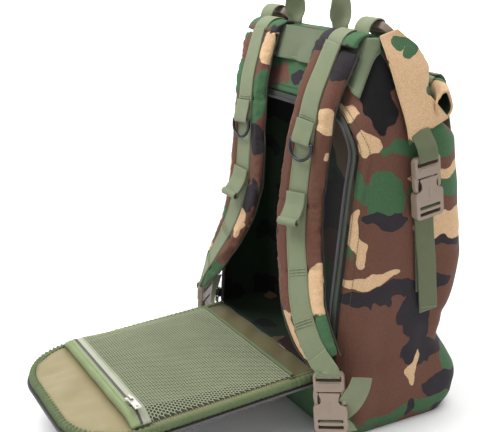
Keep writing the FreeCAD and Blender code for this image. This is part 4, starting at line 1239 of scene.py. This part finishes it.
def wrinkle(x, y):
    """Soft folds of the lining near the hinge and the tip, millimetres."""
    tip = min(1, max(0, (-y - 238) / 40))
    root = max(0, 1 - (-y) / 42)
    swell = 2.4 * math.sin(x * 0.05 + y * 0.06 + 2.4 * fuzz((x, y, 0), 0.02, 8))
    value = 0.5 * fuzz((x, y, 0), 0.02, 5) + tip * (swell + 1.6 * fuzz((x * 2, y, 0), 0.03, 4))
    return value + root * 1.9 * math.sin(x * 0.11 + y * 0.08 + 2 * fuzz((x, y, 3), 0.02, 8))


def panel_pad():
    """The panel's cushion: crowned lining above, the outer face below, and the rim between."""
    straight = CORNER - LENGTH
    tip = straight - CORNER * np.sin(np.linspace(0.04, math.pi / 2 - 0.02, 34))
    ys = np.concatenate([np.linspace(-1, straight, 80), tip])
    rows, columns = len(ys), 97
    verts, uv = [], []
    for above in (True, False):
        for y in ys:
            width = panel_width(y) - 2.5
            for x in width * np.linspace(-1, 1, columns):
                edge = min(width - abs(x), LENGTH - 1 + y, 4 - y)
                crown = 1 - math.exp(-max(edge, 0) / 7)
                level = 0.6 + 4.0 * crown + wrinkle(x, y) * crown if above else -2.2 - 2.6 * crown
                verts.append(panel_point(x, y, level))
                uv.append((x * MM, y * MM))
    faces, groups, other = grid(rows, columns, flip=True), [], rows * columns
    for first, *_ in faces:
        y = ys[first // columns]
        covered = -MOUTH_AT < y < POCKET_ROOT and abs(verts[first][0]) < COVERED_HALF
        # the lining gets painted shade under the pocket and at its root by the hinge
        groups.append(2 if covered else 3 if y > LINING_ROOT_END else 0)
    faces += grid(rows, columns, start=other)
    index = np.arange(other).reshape(rows, columns)
    rim = [*index[:, 0], *index[-1, 1:], *index[-2::-1, -1], *index[0, -2:0:-1]]
    faces += [(b, a, a + other, b + other) for a, b in zip(rim, rim[1:] + rim[:1])]
    groups += [1] * (len(faces) - len(groups))
    materials = [LINING, PANEL_FACE, LINING_PAINTED_SHADE, LINING_ROOT]
    pad = make("back_panel_pad", verts, faces, materials, uv, True, groups)
    place(pad, "back_panel", "lining_cloth", "panel_lining", "panel_foam", "panel_face")


def panel_binding():
    """Ruffled tape folded over the panel's edge, and the stitches inside it."""
    path = outline(3.2, -0.6, start=-1, step=1.0)
    round_edge = cushion_profile(1, 1, 0.7, 0.8, 20)
    sections = []
    for run, (_, y, _) in enumerate(path):
        curved = np.clip((-y - 205) / 30, 0, 1)
        beat = math.sin(run * 2 * math.pi / 6.5 + 1.6 * fuzz((run, 0, 0), 0.05, 3))
        ruff = (0.3 + 0.75 * curved) * beat + 0.25 * fuzz((run, 5, 0), 0.2, 1)
        sections.append(round_edge * (4.0 + 0.9 * ruff, 5.4 + 1.3 * ruff))
    tape = sweep("panel_edge_binding", to_world(path), PANEL_UP, np.array(sections) * MM, BINDING)
    line = to_world(outline(7.8, 5.4, start=-6, step=2.0))
    place(stitches("panel_edge_stitches", line, PANEL_UP), "back_panel", "binding_tape")
    place(tape, "back_panel", "binding_tape", "panel_binding")


COIL_STEP = 0.45


def zip_coil(name, path, radius, swell, pitch):
    """A thin rod that swells once per turn of the coil; path points are COIL_STEP millimetres apart."""
    turns = np.arange(len(path)) * COIL_STEP * 2 * math.pi / pitch
    sections = round_profile(radius) * (1 + swell * np.sin(turns))[:, None, None]
    return sweep(name, path, PANEL_UP, sections, COIL)


def panel_zip():
    """Zip tape sewn under the binding, with its coil along the free edge."""
    path = to_world(outline(1.0, -7.4, start=-6, step=2.0))
    tape = sweep("panel_zip_cloth", path, PANEL_UP, flat_profile(0.0105, 0.0011), TAPE_DARK)
    place(tape, "back_panel", "zip_tape", "panel_zip_tape")
    bead = to_world(outline(-3.6, -7.0, start=-8, step=COIL_STEP))
    place(zip_coil("panel_zip_coil", bead, 0.00125, 0.16, 1.8), "back_panel", "zip_tape")


POCKET_HALF, SEWN, MOUTH, LEVEL_LOW, LEVEL_MOUTH = 119, -34, -222, 6.0, 17.5


def pocket_level(x, y):
    """Height of the mesh above the panel, rising towards its mouth."""
    share = min(max((SEWN - y) / (SEWN - MOUTH), 0), 1)
    edge = min(1, max(0, (POCKET_HALF - abs(x)) / 16))
    rise = (LEVEL_MOUTH - LEVEL_LOW) * share ** 1.5 * edge ** 0.7
    return LEVEL_LOW + 0.5 + rise + 0.9 * fuzz((x, y, 0), 0.018, 6) * edge


NET_PITCH, THREAD_RADIUS = 4.0, 0.6


def pocket_net():
    """Knitted mesh: a net of six-sided cells, each thread a thin prism."""
    rise = NET_PITCH * math.sqrt(3) / 2
    threads = []
    for r in range(int((SEWN - MOUTH) / rise)):
        y = SEWN - r * rise
        for c in range(int(2 * POCKET_HALF / NET_PITCH)):
            x = -POCKET_HALF + c * NET_PITCH + (r % 2) * NET_PITCH / 2 + NET_PITCH / 2
            for reach, drop in ((0, 0.8 * rise), (-NET_PITCH / 2, -rise / 15), (NET_PITCH / 2, -rise / 15)):
                threads.append(((x, y - rise / 3), (x + reach, y - drop)))
    verts, faces = [], []
    for thread in threads:
        if max(abs(x) for x, _ in thread) > POCKET_HALF:
            continue
        ends = [np.array((x, y, pocket_level(x, y))) for x, y in thread]
        side = unit(np.cross(unit(ends[1] - ends[0]), UP))
        base = len(verts)
        for end in ends:
            for angle in (math.pi / 2 + k * 2 * math.pi / 3 for k in range(3)):
                corner = side * math.cos(angle) + np.array(UP) * math.sin(angle)
                verts.append(panel_point(*(end + corner * THREAD_RADIUS)))
        faces += grid(2, 3, closed=True, start=base)
        faces += [(base + 2, base + 1, base), (base + 3, base + 4, base + 5)]
    net = make("pocket_net", verts, faces, [POCKET_YARN], smooth=False)
    place(net, "back_panel", "pocket_mesh", "mesh_pocket")
    sewn = [panel_point(x, SEWN + 0.5, 6.9) for x in np.arange(-POCKET_HALF, POCKET_HALF, 3)]
    hem = sweep("pocket_net_hem", sewn, PANEL_UP, flat_profile(0.004, 0.0012), BINDING)
    place(hem, "back_panel", "pocket_mesh")


POCKET_FOOT = 6.2


def mouth_point(x, y, z, shift=0.0):
    """A point of the pocket's mouth, which comes down to the lining at both ends, in metres."""
    droop = 10.5 * max(0, (abs(x) - 98) / 22) ** 1.6
    return panel_point(x, y + shift, POCKET_FOOT + (z - POCKET_FOOT) * (1 - droop / 11.2))


def pocket_mouth():
    """Zip tape along the pocket's mouth, a folded band in front of it, and a closed double coil."""
    xs = np.arange(-POCKET_HALF - 1, POCKET_HALF + 1.1, 2.5)
    back = [(-220.5, 17.6), (-223, 18.6), (-226, 18.9), (-230, 18.7), (-231.6, 18.4)]
    front = [(-232.4, 18.4), (-234, 18.8), (-238, 18.9), (-241, 18.3), (-243.5, 15.5), (-244.5, 11.5),
             (-243, 8), (-239.5, 6.2)]
    strips = []
    for section, material in ((back, TAPE), (front, TAPE_OLIVE)):
        verts = [mouth_point(x, y, z, 0.5 * fuzz((x, y, 0), 0.03, 3)) for x in xs for y, z in section]
        uv = [(k * 0.002, i * 0.0025) for i in range(len(xs)) for k in range(len(section))]
        strip = make("mouth", verts, grid(len(xs), len(section), flip=True), [material], uv)
        strips.append(thicken(strip, 0.001, 0))
    tape = join("pocket_mouth_tape", strips)
    place(tape, "back_panel", "zip_tape", "pocket_zip_tape")
    coils = []
    for y in (-231.1, -232.9):
        path = [mouth_point(x, y, 19.0) for x in np.arange(-POCKET_HALF, POCKET_HALF, COIL_STEP)]
        coils.append(zip_coil("coil", path, 0.00095, 0.18, 1.7))
    place(join("pocket_zip_coil", coils), "back_panel", "zip_tape")
    rows = []
    for y, z in ((-223.2, 19.3), (-238.6, 19.5)):
        line = [mouth_point(x, y, z) for x in np.arange(-114, 114, 2)]
        rows.append(stitches("row", line, PANEL_UP, pitch=0.003, radius=0.0003))
    place(join("pocket_stitches", rows), "back_panel", "zip_tape")


panel_pad()
panel_binding()
panel_zip()
pocket_net()
pocket_mouth()


# ---------------------------------------------------------------- hardware kept from the CAD
def paint_node(name, material):
    data = NODES[name].data
    data.materials.clear()
    data.materials.append(material)


for name in NODES:
    if name.startswith("d_ring"):
        paint_node(name, RING)
    elif name.startswith(("zip_slider", "zip_pull")):
        paint_node(name, ZIP_DARK)
    elif name.startswith(("pocket_slider", "pocket_pull")):
        paint_node(name, ZIP_METAL)


def grip(side):
    """Ribbed moulded sleeve on a main zip pull."""
    low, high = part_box(f"zip_grip_{side}")
    centre, share = (low + high) / 2, np.linspace(0, 1, 60)
    tilt = (high.y - low.y - 0.0068) * 0.5
    pts = [(centre.x, centre.y + tilt * (1 - 2 * t), low.z + (high.z - low.z) * t) for t in share]
    sections = []
    for t in share:
        rib = 0.88 + 0.12 * (math.sin(t * 2 * math.pi * 9) > -0.2) * (0.18 < t < 0.85)
        end = math.sqrt(max(1 - (2 * t - 1) ** 8, 0.02))
        sections.append(round_profile(0.0034, 14) * rib * end)
    sleeve = sweep(f"zip_grip_sleeve_{side}", pts, TO_WEARER, np.array(sections), RUBBER)
    place(sleeve, f"zip_pull_{side}", "grip_rubber", f"zip_grip_{side}")


for side, _ in SIDES:
    grip(side)


# ---------------------------------------------------------------- floor, light, camera
# name, position, size and power
LAMPS = (("key", (-0.5, -1.1, 2.0), 1.2, 40), ("top", (0.3, 0.5, 2.3), 1.6, 30),
         ("side", (2.2, -0.6, 1.2), 1.4, 4))


def studio():
    """White floor, glowing backdrop, a dim world and three area lights."""
    floor = make("floor", [(-7, -7, 0), (7, -7, 0), (7, 7, 0), (-7, 7, 0)], [(0, 1, 2, 3)], [])
    paint = Paint("floor")
    white = paint.shade((0.93, 0.93, 0.93), paint.noise(paint.at, 3, 2), 0.99, 1.01)
    paint.set(Base_Color=white, Roughness=0.9)
    floor.data.materials.append(paint.mat)
    floor.location.z = -0.0006
    corners = [(-3.4, -1.0, -0.2), (0.6, 5.0, -0.2), (0.6, 5.0, 4), (-3.4, -1.0, 4)]
    wall = make("backdrop", corners, [(0, 1, 2, 3)], [])
    glow = Paint("backdrop")
    glow.set(Base_Color=(0.9, 0.9, 0.9), Emission_Color=(1, 1, 1), Emission_Strength=0.9)
    wall.data.materials.append(glow.mat)
    world = bpy.data.worlds.new("studio")
    world.use_nodes = True
    sky = world.node_tree.nodes["Background"]
    sky.inputs["Color"].default_value = (1, 1, 1, 1)
    sky.inputs["Strength"].default_value = 0.42
    scene = bpy.context.scene
    scene.world = world
    scene.view_settings.view_transform = "Standard"
    for name, position, size, power in LAMPS:
        light = bpy.data.lights.new(name, "AREA")
        light.size = size
        light.energy = power
        aim(add_object(name, light), position, (0, 0, 0.25))


def aim(obj, position, target):
    obj.location = position
    obj.rotation_euler = (Vector(target) - obj.location).to_track_quat("-Z", "Y").to_euler()


def camera():
    data = bpy.data.cameras.new("camera")
    data.lens = 67
    data.sensor_width = 36
    obj = add_object("camera", data)
    aim(obj, (0.939, -0.655, 0.601), (-0.245, 0, 0.165))
    bpy.context.scene.camera = obj


studio()
camera()
